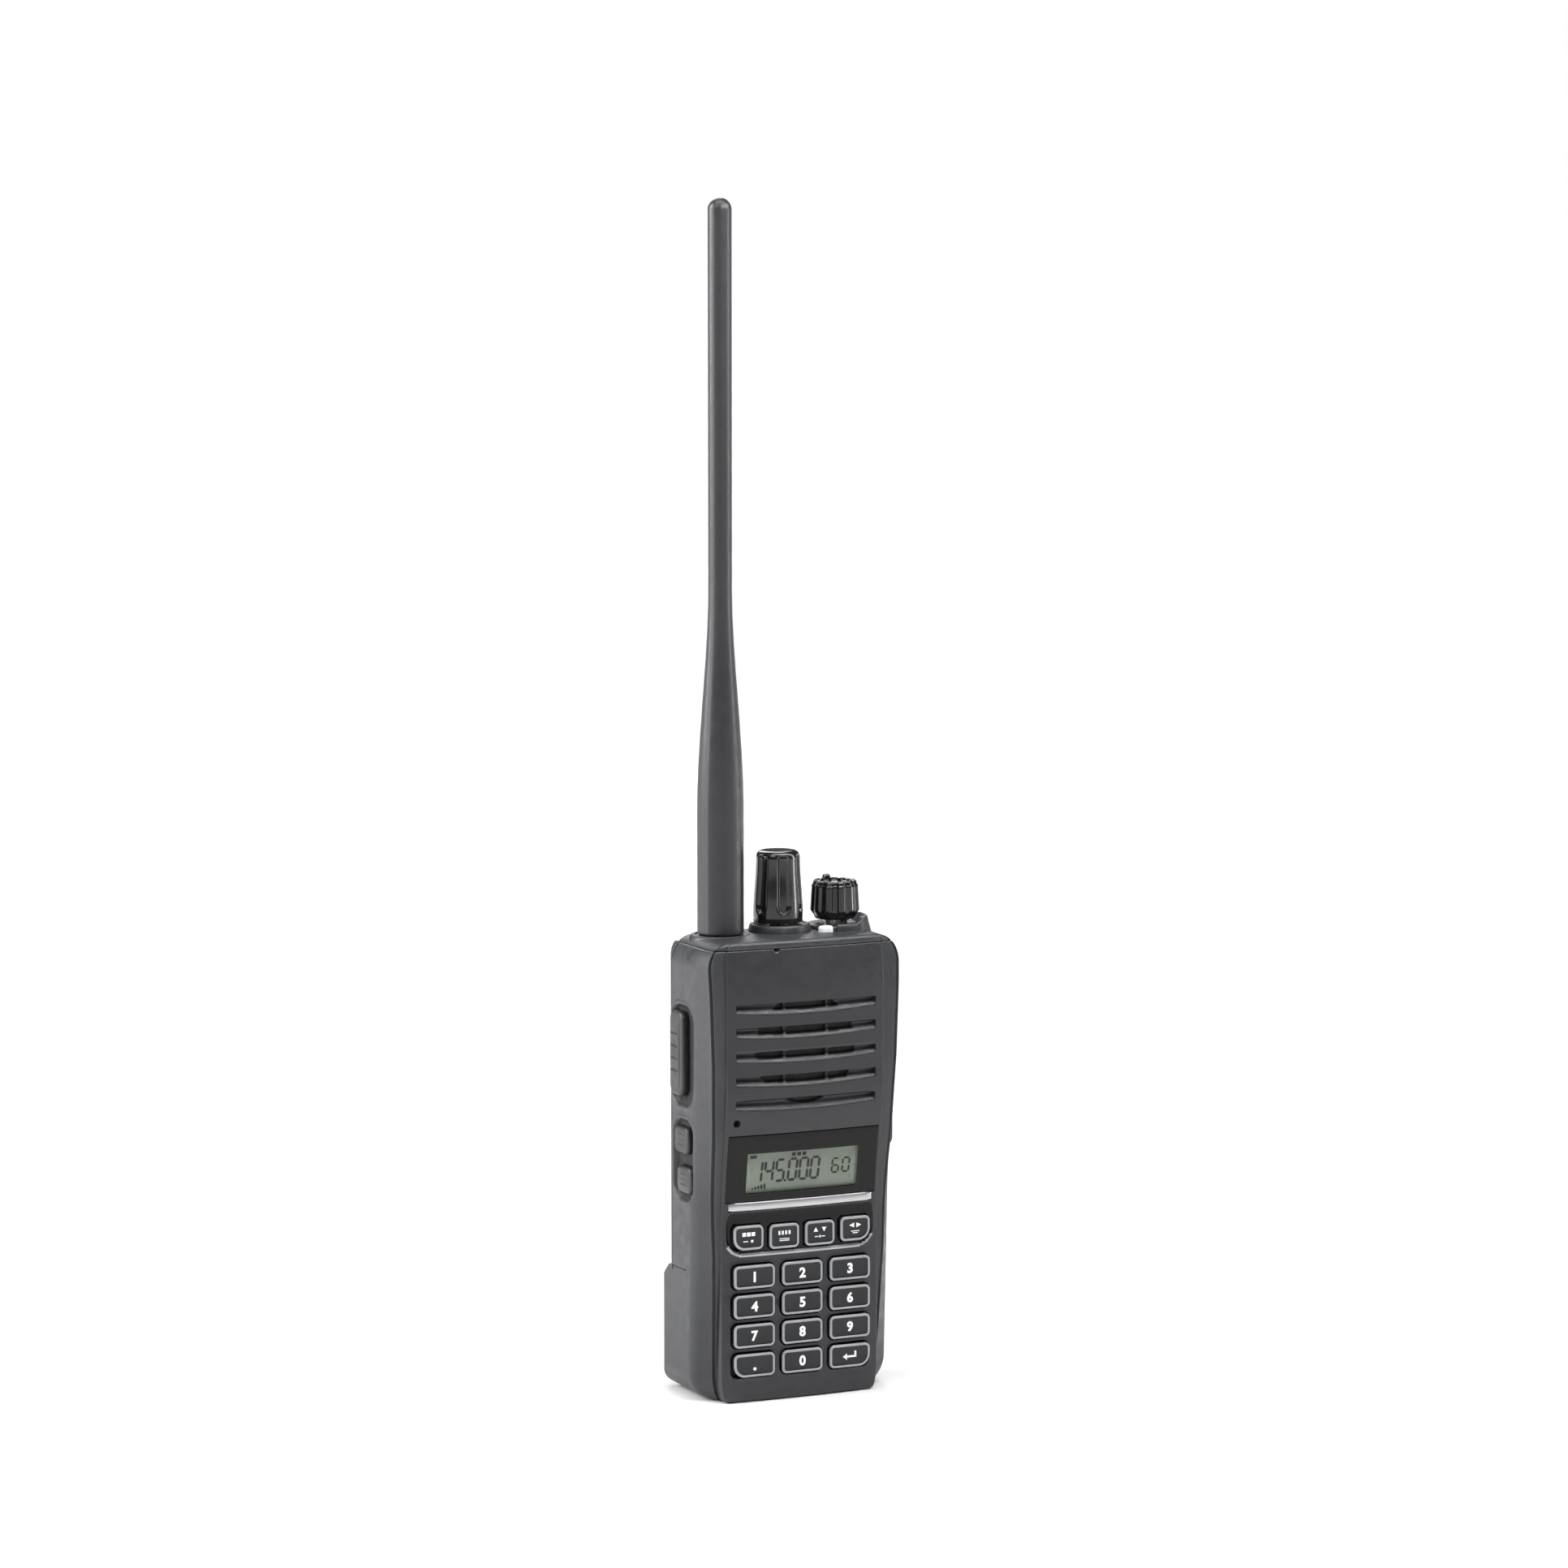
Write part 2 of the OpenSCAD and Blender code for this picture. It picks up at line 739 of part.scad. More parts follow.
// Battery pack: thick foot, slim upper part with the contacts
module battery_case() {
  foot_w = half_w - 0.2;
  rear = battery_depth;
  step = battery_step_z;
  color("#2c2d31") difference() {
    union() {
      intersection() {
        along_x(-foot_w, foot_w) polygon(concat(
          [[battery_front_y, 0]],
          arc(rear - 3, 3, 3, 270, 360, 6),
          arc(rear - 2.4, step - 6.5, 2.4, 0, 50, 4),
          [[back_depth - 0.5, step], [battery_front_y, step]]
        ));
        along_y(-20, 30) translate([0, body_h / 2])
          rounded_rect(2 * foot_w, body_h, corner_r);
        linear_extrude(cut) polygon(concat(
          [[-foot_w, battery_front_y], [foot_w, battery_front_y]],
          arc(foot_w - 4, rear - 4, 4, 0, 90, 6),
          arc(4 - foot_w, rear - 4, 4, 90, 180, 6)
        ));
      }
      block([-21.5, battery_top_front_y, step - 1], [21.5, back_depth - 1, battery_h]);
      intersection() {
        body_block(0);
        block([-cut, rear_y + seal_t, step - 1], [cut, cut, battery_h]);
      }
    }
    for (z = cell_z) rod_x(cell_y, z, -cell_len / 2 - 0.5, cell_len / 2 + 0.5, cell_r + 0.1);
    for (x = [-5, 0, 5]) block([x - 1.5, 0, 50], [x + 1.5, battery_top_front_y + 0.4, 56]);
  }
}

module battery_cells() {
  color("#2a6fb0") for (z = cell_z) rod_x(cell_y, z, -cell_len / 2, cell_len / 2, cell_r);
}

module battery_contacts() {
  color("gold") for (x = [-5, 0, 5])
    block([x - 1.4, battery_top_front_y, 50.1], [x + 1.4, battery_top_front_y + 0.4, 55.9]);
}

// Spring pins on the chassis that meet the battery contacts
module terminal_block() {
  color("gold") for (x = [-5, 0, 5])
    block([x - 1, 1.2, 51], [x + 1, 1.4, 55]);
}

module battery_latch() {
  color("#26272a") {
    block([-5.9, -7.8, 0.2], [5.9, -3.9, 1.5]);
    block([-3.5, -3.95, 0.4], [3.5, battery_front_y - 0.1, 1.3]);
    for (y = [-7.2, -6.2, -5.2]) block([-4.5, y, 0.02], [4.5, y + 0.4, 0.25]);
  }
}

front_case();
rear_chassis();
top_panel();
main_seal();
case_screws();
display_window();
silver_trim();
lcd_panel();
lcd_backlight();
function_key(0);  // function_key_1
function_key(1);  // function_key_2
function_key(2);  // function_key_3
function_key(3);  // function_key_4
number_key(0, 0);  // key_1
number_key(1, 0);  // key_2
number_key(2, 0);  // key_3
number_key(0, 1);  // key_4
number_key(1, 1);  // key_5
number_key(2, 1);  // key_6
number_key(0, 2);  // key_7
number_key(1, 2);  // key_8
number_key(2, 2);  // key_9
number_key(0, 3);  // key_point
number_key(1, 3);  // key_0
number_key(2, 3);  // key_enter
keypad_mat();
ptt_button();
side_key_upper();
side_key_lower();
side_key_seal();
dial_knob();
dial_shaft();
dial_encoder();
volume_knob();
volume_shaft();
volume_control();
indicator_lens();
antenna_sheath();
antenna_core();
antenna_plug();
antenna_socket();
audio_cover();
power_cover();
audio_jack();
power_jack();
speaker_net();
speaker_frame();
speaker_cone();
speaker_magnet();
microphone();
mic_boot();
logic_board();
rf_board();
shield_can();
battery_case();
battery_cells();
battery_contacts();
terminal_block();
battery_latch();
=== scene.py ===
"""Handheld two-way radio: the visible pieces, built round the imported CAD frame."""
import json
import math

import bmesh
import bpy
import numpy as np
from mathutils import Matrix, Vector


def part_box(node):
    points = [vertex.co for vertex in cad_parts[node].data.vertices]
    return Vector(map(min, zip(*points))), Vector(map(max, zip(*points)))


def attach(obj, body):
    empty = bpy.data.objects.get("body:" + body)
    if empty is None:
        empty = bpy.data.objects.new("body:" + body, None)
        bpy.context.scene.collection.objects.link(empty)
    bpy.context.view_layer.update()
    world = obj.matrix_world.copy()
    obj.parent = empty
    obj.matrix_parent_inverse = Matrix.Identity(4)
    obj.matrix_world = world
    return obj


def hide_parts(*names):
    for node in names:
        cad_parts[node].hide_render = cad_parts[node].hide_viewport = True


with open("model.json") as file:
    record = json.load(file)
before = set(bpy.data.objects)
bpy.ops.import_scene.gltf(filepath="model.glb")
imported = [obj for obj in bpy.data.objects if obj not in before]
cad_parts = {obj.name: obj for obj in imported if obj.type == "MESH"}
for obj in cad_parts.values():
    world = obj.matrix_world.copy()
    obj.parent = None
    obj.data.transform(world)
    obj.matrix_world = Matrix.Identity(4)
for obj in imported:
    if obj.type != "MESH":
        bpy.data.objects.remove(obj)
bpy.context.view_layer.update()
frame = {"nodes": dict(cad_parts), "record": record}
MM = 0.001
HOUSING = "housing"


def box_mm(node):
    """Lowest and highest corner of a CAD node, in mm."""
    lo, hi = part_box(node)
    return np.array(lo) / MM, np.array(hi) / MM


# --- materials

MAT = {}


def finish(name, color, rough, grain=2600, bump=0.25, vary=0.14, spread=0.1, metallic=0.0,
           spec=0.5, coat=0.0, wear=0.0, alpha=1.0, brushed=None, sheen=0.0):
    """A moulded or cast surface: fine grain, patchy roughness, slight colour drift and worn edges."""
    mat = bpy.data.materials.new(name)
    mat.use_nodes = True
    nodes, links = mat.node_tree.nodes, mat.node_tree.links
    shader = nodes["Principled BSDF"]
    plain = {"Metallic": metallic, "Specular IOR Level": spec, "Coat Weight": coat, "Coat Roughness": 0.06,
             "Sheen Weight": sheen, "Alpha": alpha}
    for socket, value in plain.items():
        shader.inputs[socket].default_value = value
    coord = nodes.new("ShaderNodeTexCoord")
    mapping = nodes.new("ShaderNodeMapping")
    mapping.inputs["Scale"].default_value = brushed or (1, 1, 1)
    links.new(coord.outputs["Object"], mapping.inputs["Vector"])

    def add(kind, **settings):
        node = nodes.new(kind)
        for key, value in settings.items():
            setattr(node, key, value)
        return node

    def feed(node, **values):
        """Sets or links inputs by name, with _ for a space."""
        for key, value in values.items():
            socket = node.inputs[key.replace("_", " ")]
            if isinstance(value, bpy.types.NodeSocket):
                links.new(value, socket)
            else:
                socket.default_value = value
        return node

    def noise(scale, detail):
        node = feed(add("ShaderNodeTexNoise"), Scale=scale, Detail=detail, Vector=mapping.outputs["Vector"])
        return node.outputs["Fac"]

    def combine(operation, *terms):
        """A math node fed with plain numbers and sockets."""
        node = add("ShaderNodeMath", operation=operation)
        for socket, term in zip(node.inputs, terms):
            if isinstance(term, bpy.types.NodeSocket):
                links.new(term, socket)
            else:
                socket.default_value = term
        return node.outputs[0]

    fine, middle, broad = noise(grain, 3), noise(grain / 9, 4), noise(grain / 60, 3)
    ramp = add("ShaderNodeValToRGB")
    first, last = ramp.color_ramp.elements
    first.position, last.position = 0.3, 0.7
    first.color = (*[c * (1 - vary) for c in color], 1)
    last.color = (*[min(1, c * (1 + vary) + 0.002) for c in color], 1)
    links.new(combine("MULTIPLY_ADD", broad, 0.55, combine("MULTIPLY", fine, 0.45)), ramp.inputs["Fac"])
    out = ramp.outputs["Color"]
    if wear:
        edge = feed(add("ShaderNodeMapRange"), From_Min=0.515, From_Max=0.6, To_Max=wear)
        links.new(add("ShaderNodeNewGeometry").outputs["Pointiness"], edge.inputs["Value"])
        mix = add("ShaderNodeMix", data_type="RGBA")
        links.new(combine("MULTIPLY", edge.outputs["Result"], middle), mix.inputs["Factor"])
        links.new(out, mix.inputs["A"])
        mix.inputs["B"].default_value = (*[min(1, c * 2.4 + 0.05) for c in color], 1)
        out = mix.outputs["Result"]
    patch = feed(add("ShaderNodeMapRange"), Value=middle, From_Min=0.3, From_Max=0.7,
                 To_Min=max(0.02, rough - spread), To_Max=min(1, rough + spread))
    feed(shader, Base_Color=out, Roughness=patch.outputs["Result"])
    if bump:
        grained = feed(add("ShaderNodeBump"), Strength=bump, Distance=0.00012, Height=fine)
        feed(shader, Normal=grained.outputs["Normal"])
    MAT[name] = mat
    return mat


finish("case_plastic", (0.026, 0.027, 0.03), 0.43, 2800, 0.5, wear=0.35, spec=0.55)
finish("plate_plastic", (0.017, 0.0175, 0.02), 0.4, 3600, 0.55, wear=0.2, spec=0.55)
# painted shade: near-black for the insides of wells, holes, slots and pockets and for the inside of the case;
# on the left side it is also the rubber sheet's own colour
finish("shade_and_rubber_black", (0.007, 0.007, 0.008), 0.7, 3000, 0.3)
finish("chassis_paint", (0.03, 0.031, 0.034), 0.5, 2200, 0.4, vary=0.06, spread=0.03)
finish("battery_plastic", (0.034, 0.035, 0.038), 0.47, 2500, 0.4, vary=0.06, spread=0.03)
finish("window_gloss", (0.004, 0.004, 0.005), 0.07, 1500, 0.0, spread=0.03, spec=0.22)
finish("window_clear", (0.01, 0.011, 0.01), 0.06, 1500, 0.0, spread=0.02, alpha=0.1)
finish("knob_gloss", (0.007, 0.007, 0.008), 0.16, 2200, 0.04, spread=0.07, coat=0.5, wear=0.1)
finish("silver_trim", (0.5, 0.5, 0.51), 0.3, 2400, 0.2, metallic=0.85, brushed=(0.05, 1, 1))
finish("border_silver", (0.42, 0.42, 0.44), 0.34, 2600, 0.2, metallic=0.5)
finish("lcd_glass", (0.27, 0.31, 0.25), 0.35, 5200, 0.1, vary=0.05)
finish("lcd_ink", (0.012, 0.014, 0.012), 0.45, 3000, 0.05)
finish("diffuser", (0.8, 0.8, 0.74), 0.4, 1800, 0.2, vary=0.05)
finish("key_top", (0.014, 0.0145, 0.016), 0.34, 3200, 0.35, spec=0.35)
finish("key_ink", (0.86, 0.86, 0.86), 0.4, 3200, 0.1, vary=0.04)
finish("key_rim", (0.33, 0.335, 0.35), 0.36, 3000, 0.2, metallic=0.2)
finish("mat_rubber", (0.09, 0.092, 0.1), 0.72, 2000, 0.5, sheen=0.1)
finish("button_rubber", (0.012, 0.012, 0.013), 0.42, 2600, 0.35, spec=0.6)
finish("cover_rubber", (0.028, 0.029, 0.032), 0.62, 2400, 0.6, sheen=0.1)
finish("seal_rubber", (0.012, 0.012, 0.012), 0.7, 2000, 0.4)
finish("antenna_rubber", (0.02, 0.0205, 0.023), 0.36, 2400, 0.25, spec=0.6, spread=0.06)
finish("lens_white", (0.86, 0.87, 0.88), 0.2, 1500, 0.05, vary=0.03, coat=0.4)
finish("screw_steel", (0.5, 0.5, 0.5), 0.3, 2600, 0.2, metallic=1.0)
finish("control_metal", (0.42, 0.43, 0.44), 0.38, 2200, 0.3, metallic=0.9)
finish("gold_plate", (0.75, 0.53, 0.2), 0.25, 2600, 0.15, metallic=1.0)
finish("jack_plastic", (0.014, 0.014, 0.015), 0.5, 2400, 0.3)
finish("net_black", (0.006, 0.006, 0.006), 0.75, 1600, 0.6)
finish("cone_paper", (0.02, 0.02, 0.02), 0.8, 1500, 0.7)
finish("magnet", (0.2, 0.2, 0.21), 0.4, 2000, 0.3, metallic=0.7)
finish("board_green", (0.02, 0.12, 0.05), 0.4, 1200, 0.3, coat=0.3)
finish("cell_wrap", (0.03, 0.12, 0.3), 0.3, 1500, 0.1, coat=0.3)

# --- mesh helpers

def show(name, data):
    """Links new data into the scene as an object."""
    obj = bpy.data.objects.new(name, data)
    bpy.context.scene.collection.objects.link(obj)
    return obj


def place(name, mesh, body, nodes):
    """Puts a mesh in the scene, riding on a CAD body and standing for the named CAD nodes."""
    obj = show(name, mesh)
    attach(obj, body)
    if nodes:
        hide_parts(*nodes)
    return obj


def make_piece(name, verts, faces, index, mats, body, nodes, angle):
    """A piece from points in mm; its slot is its first material, and edges over angle stay sharp."""
    mesh = bpy.data.meshes.new(name)
    mesh.from_pydata((np.asarray(verts, float) * MM).tolist(), [], [list(map(int, f)) for f in faces])
    for m in mats:
        mesh.materials.append(MAT[m])
    mesh.polygons.foreach_set("material_index", np.asarray(index, dtype=np.int32))
    bm = bmesh.new()
    bm.from_mesh(mesh)
    bmesh.ops.remove_doubles(bm, verts=bm.verts, dist=1e-6)
    bmesh.ops.recalc_face_normals(bm, faces=bm.faces)
    bm.to_mesh(mesh)
    bm.free()
    mesh.shade_smooth()
    mesh.set_sharp_from_angle(angle=math.radians(angle))
    return place(name, mesh, body, nodes)


class Shape:
    """Collects points, faces and a material for each face."""

    def __init__(self):
        self.verts, self.faces, self.index = [], [], []
        self.count = 0

    def add(self, verts, faces, index):
        verts = np.asarray(verts, float).reshape(-1, 3)
        self.verts.append(verts)
        self.faces += [[i + self.count for i in f] for f in faces]
        self.index += list(index) if hasattr(index, "__len__") else [index] * len(faces)
        self.count += len(verts)
        return self

    def rings(self, rings, index=0, caps=True):
        """Joins rings of the same number of points, and closes the first and last."""
        n = len(rings[0])
        levels = index if hasattr(index, "__len__") else [index] * len(rings)
        faces, mats = [], []
        for i in range(len(rings) - 1):
            for k in range(n):
                a, b = i * n + k, i * n + (k + 1) % n
                faces.append([a, b, b + n, a + n])
                mats.append(levels[i])
        if caps:
            faces.append(list(range(n))[::-1])
            faces.append([(len(rings) - 1) * n + k for k in range(n)])
            mats += [levels[0], levels[-1]]
        return self.add(np.concatenate([np.asarray(r, float) for r in rings]), faces, mats)

    def box(self, lo, hi, index=0, bevel=0.08):
        """A box with narrow chamfers on its eight upright and level edges."""
        lo, hi = np.array(lo, float), np.array(hi, float)
        b = min(bevel, *(0.4 * (hi - lo)))
        rings = []
        for z, d in ((lo[2], b), (lo[2] + b, 0), (hi[2] - b, 0), (hi[2], b)):
            x0, x1, y0, y1 = lo[0] + d, hi[0] - d, lo[1] + d, hi[1] - d
            rings.append([(x0 + b, y0, z), (x1 - b, y0, z), (x1, y0 + b, z), (x1, y1 - b, z),
                          (x1 - b, y1, z), (x0 + b, y1, z), (x0, y1 - b, z), (x0, y0 + b, z)])
        return self.rings(rings, index)

    def done(self, name, mats, nodes=(), body=HOUSING, angle=35):
        return make_piece(name, np.concatenate(self.verts), self.faces, self.index, mats, body, nodes, angle)


def outline(w, h, radii, n=7):
    """Points of a rectangle centred on 0 with its own radius at each corner, from the lower right."""
    if not hasattr(radii, "__len__"):
        radii = [radii] * 4
    pts = []
    corners = ((1, -1, 270), (1, 1, 0), (-1, 1, 90), (-1, -1, 180))
    for (sx, sy, a0), r in zip(corners, radii):
        for k in range(n):
            a = math.radians(a0 + 90 * k / (n - 1))
            pts.append((sx * (w / 2 - r) + r * math.cos(a), sy * (h / 2 - r) + r * math.sin(a)))
    return np.array(pts)


def smooth(t):
    t = np.clip(t, 0, 1)
    return t * t * (3 - 2 * t)


def rect_sdf(x, z, cx, cz, w, h, r):
    """Distance outside a round-cornered rectangle; negative inside."""
    qx, qz = np.abs(x - cx) - w / 2 + r, np.abs(z - cz) - h / 2 + r
    return np.hypot(np.maximum(qx, 0), np.maximum(qz, 0)) + np.minimum(np.maximum(qx, qz), 0) - r


# --- the body's own curves

case_hi = box_mm("front_case")[1]
HALF_W = case_hi[0]
SEAM_Z = case_hi[2]
BODY_H = SEAM_Z + 2.0
CORNER_R = 7.0
KEYPAD_DEPTH, SPEAKER_RISE, CROWN_R = 13.3, 3.6, 260.0
REAR_Y, LOW_REAR_Y = case_hi[1], -3.8
STEP_Z = box_mm("battery_case")[0][2] + 31.8
PLATE_X = 20.7
PLATE_COLS, SIDE_COLS = 73, 44  # columns of the grid on half the plate and on one side


def face_y(z):
    return -(KEYPAD_DEPTH + SPEAKER_RISE * smooth((np.asarray(z, float) - 44) / 35))


def crown(x):
    return CROWN_R - np.sqrt(CROWN_R ** 2 - np.asarray(x, float) ** 2)


def plate_y(x, z):
    """The front plate: it leans back a little towards the top."""
    lean = 0.9 * smooth((np.asarray(z, float) - 97) / 16) ** 1.3
    return face_y(z) + crown(x) + lean


def groove(z):
    return 21.2 + 0.034 * z, -(9.3 + 0.075 * z)


def facet_y(z):
    return -(6.3 + 0.027 * z)


def outline_half(z):
    """Half width of the front view at height z."""
    if z < CORNER_R:
        return HALF_W - CORNER_R + math.sqrt(max(0, CORNER_R ** 2 - (CORNER_R - z) ** 2))
    if z > BODY_H - CORNER_R:
        return HALF_W - CORNER_R + math.sqrt(max(0, CORNER_R ** 2 - (z - BODY_H + CORNER_R) ** 2))
    return HALF_W


def section(z, rear):
    """The right half of the case at height z, from the middle to its rear edge, and its stretches' starts."""
    gx, gy = groove(z)
    py = float(plate_y(PLATE_X, z))
    fy = facet_y(z)
    band0 = max(py + 0.45, gy - 0.1 * (gx - PLATE_X - 0.3))
    pts = [(x, float(plate_y(x, z))) for x in np.linspace(0, PLATE_X - 0.5, PLATE_COLS)]
    marks = [len(pts)]
    pts += [(PLATE_X - 0.25, py - 0.02), (PLATE_X - 0.05, py + 0.02), (PLATE_X + 0.1, py + 0.2)]
    inner = gx - 0.45
    wall_y = max(band0, py + 0.45)
    for t in (0, 0.33, 0.66, 1):
        x = PLATE_X + 0.22 + (max(inner, PLATE_X + 0.3) - PLATE_X - 0.22) * t
        pts.append((x, wall_y + (max(gy - 0.1, wall_y) - wall_y) * t))
    gy0 = max(gy - 0.1, wall_y)
    pts += [(gx - 0.22, gy0 + 0.4), (gx - 0.12, gy0 + 0.62), (gx + 0.12, gy0 + 0.62), (gx + 0.3, gy0 + 0.35)]
    marks.append(len(pts))
    start = np.array([gx + 0.5, gy0 + 0.28])
    corner = np.array([HALF_W, fy])
    slope = (corner - start) / np.linalg.norm(corner - start)
    r = 2.0
    into = corner - slope * r
    for t in np.linspace(0, 1, 6):
        pts.append(tuple(start + (into - start) * t))
    for t in (0.2, 0.4, 0.6, 0.8, 1):
        q = into * (1 - t) ** 2 + 2 * corner * t * (1 - t) + (corner + (0, r * 0.8)) * t * t
        pts.append(tuple(q))
    marks.append(len(pts))
    y0 = fy + r * 0.8
    for t in np.linspace(0, 1, SIDE_COLS + 1)[1:]:
        pts.append((HALF_W, y0 + (rear - y0) * t))
    return np.array(pts), marks


def clamp_half(pts, z, inset):
    """Pulls a section in to the front view's round corners, and in by inset for the end roundings."""
    flat = HALF_W - CORNER_R
    hw = outline_half(z)
    x = pts[:, 0].copy()
    over = x > flat
    x[over] = flat + (x[over] - flat) * (hw - flat) / CORNER_R
    scale = 1 - inset / HALF_W
    return np.stack([x * scale, pts[:, 1] + inset * (pts[:, 1] < LOW_REAR_Y - 1)], axis=1)


# --- wells in the front and the sides

SLOT_TOPS = [97.5 - 5.83 * i for i in range(5)]
SLOT_HALF, SPEAKER_Z, NET_R = 18.5, 86.0, 13.4
OPEN_PART, RIB_X, RIB_HALF = 0.66, 5.6, 0.42  # open part of a slot's height, and the ribs across it
win_lo, win_hi = box_mm("display_window")
trim_lo, trim_hi = box_mm("silver_trim")
KEY_NODES = [["key_1", "key_2", "key_3"], ["key_4", "key_5", "key_6"],
             ["key_7", "key_8", "key_9"], ["key_point", "key_0", "key_enter"]]
FUNCTION_NODES = ["function_key_1", "function_key_2", "function_key_3", "function_key_4"]
KEY_W, KEY_H, FKEY_W, FKEY_H = 10.8, 5.7, 7.9, 6.0
KEY_ROUND, OUTER_ROUND = 1.3, 2.9  # corners of a key, and of the keypad's own outer corners
WELL_DEPTH, WELL_ROUND = 1.9, 1.7
JACK_Y = -0.5
JACKS = ((90.0, 1.77, 3.4), (68.8, 2.1, 3.7))  # height, bore and boss radius of the audio and power jacks


def centre(node):
    """Middle of a CAD node's box, in mm."""
    lo, hi = box_mm(node)
    return (lo + hi) / 2


def corner_radii(node):
    """Corner radii of a key, from the lower right round to the lower left."""
    right = OUTER_ROUND if node in ("key_enter", "function_key_4") else KEY_ROUND
    left = OUTER_ROUND if node in ("key_point", "function_key_1") else KEY_ROUND
    return [right, KEY_ROUND, KEY_ROUND, left]


PANEL = (0.0, 42.3, 2 * 19.7, 12.3, 4.6)  # field round the function keys: centre, size, corner
PANEL_TOP, BORDER_TOP = 46.5, 38.6
# index 1 is the black of painted shade in recesses and inside the case, and the rubber sheet's own colour on
# the left side
PLASTIC, SHADE_AND_RUBBER, GLOSS, RIM, PLATE = range(5)
CASE_MATS = ["case_plastic", "shade_and_rubber_black", "window_gloss", "border_silver", "plate_plastic"]


def front_wells(x, z):
    """Depth below the plate, in mm, and the material of each point of the front; wells, holes, slots and
    pockets are black inside as painted shade.
    """
    depth = np.zeros_like(x)
    mat = np.full(x.shape, PLATE)

    def sink(s, d, m=None, lip=0.22):
        """Lowers the points inside an edge, s mm from it, by up to d, and gives them material m where m is
        given: the black of painted shade in the recesses.
        """
        nonlocal depth, mat
        new = d * smooth(s / lip)
        depth = np.where((s > 0) & (new > depth), new, depth)
        if m is not None:
            mat = np.where((s > lip * 0.75), m, mat)

    def pocket(cx, cz, w, h, r, d, lip=0.2):
        sink(-rect_sdf(x, z, cx, cz, w, h, r), d, SHADE_AND_RUBBER, lip)

    field = -rect_sdf(x, z, *PANEL)
    ridge = np.exp(-(field / 0.17) ** 2) * (z < PANEL_TOP - 0.2)
    sink(np.where(z > PANEL_TOP, -1, field - 0.2), 0.22, GLOSS, 0.2)
    mat = np.where((np.abs(field) < 0.24) & (z < BORDER_TOP), RIM, mat)
    depth = depth - 0.16 * ridge
    rim = NET_R - np.hypot(x, z - SPEAKER_Z)
    for top in SLOT_TOPS:
        u = np.clip(np.abs(x) / SLOT_HALF, 0, 1)
        height = 2.0 + 0.9 * (1 - u ** 2)
        down = top - z
        s = np.minimum(np.minimum(down, height - down), (SLOT_HALF - np.abs(x)) * 0.9)
        t = np.clip(down / height, 0, 1)
        inside = s > 0
        louver = 0.25 + 1.05 * (1 - smooth((t - 0.3) / 0.7))
        edge = smooth(np.minimum(down, SLOT_HALF - np.abs(x)) / 0.22)
        depth = np.where(inside, louver * edge * (t < 0.999) * smooth((1 - t) / 0.16), depth)
        hole = inside & (rim > 0) & (t < OPEN_PART) & (np.abs(np.abs(x) - RIB_X) > RIB_HALF)
        deep = 2.1 * smooth(np.minimum(down, (OPEN_PART - t) * height) / 0.22) * smooth(rim / 0.5)
        depth = np.where(hole, np.maximum(depth, deep), depth)
        # painted shade: the deep floors of the open slots are black
        mat = np.where(hole & (deep > 1.0), SHADE_AND_RUBBER, mat)
    mic_x, _, mic_z = centre("microphone")
    # painted shade: black inside the microphone hole
    sink(0.85 - np.hypot(x - mic_x, z - mic_z), 1.6, SHADE_AND_RUBBER, 0.2)
    window_z = centre("display_window")[2]
    # painted shade: black inside the pockets round the window and under the trim
    pocket(0, window_z, 2 * win_hi[0] + 0.1, win_hi[2] - win_lo[2] + 0.1, 0.3, 1.1)
    pocket(0, window_z, 34.2, 13.4, 0.3, 2.35)
    pocket(0, centre("silver_trim")[2], 2 * trim_hi[0] + 0.1, 2.1, 0.2, 1.1)
    # painted shade: black inside the wells round the function keys
    for node in FUNCTION_NODES:
        cx, _, cz = centre(node)
        pocket(cx, cz, FKEY_W + 0.5, FKEY_H + 0.5, WELL_ROUND, WELL_DEPTH, 0.22)
    # painted shade: black inside the wells round the number keys
    for node in sum(KEY_NODES, []):
        cx, _, cz = centre(node)
        s = rect_sdf(x, z, cx, cz, KEY_W + 0.5, KEY_H + 0.5, WELL_ROUND)
        depth = depth - 0.12 * np.exp(-((s - 0.3) / 0.2) ** 2)
        sink(-s, WELL_DEPTH, SHADE_AND_RUBBER, 0.22)
    for side in (-1, 1):  # the two marks beside the middle key
        bump = smooth(1 - np.hypot((x - side * 6.35) / 0.42, (z - centre("key_5")[2]) / 1.35))
        depth = depth - 0.45 * bump
    sink(0.95 - np.hypot(x + 7.6, z - SEAM_Z + 0.2), 0.9, None, 0.8)
    return depth, mat


# holes of the push-to-talk bar and the two side keys: centre, size, corner
SIDE_HOLES = ((0.2, 84.25, 7.9, 20.8, 2.6), (-1.4, 63.3, 8.5, 6.8, 2.1), (-2.95, 53.8, 8.5, 6.8, 2.1))


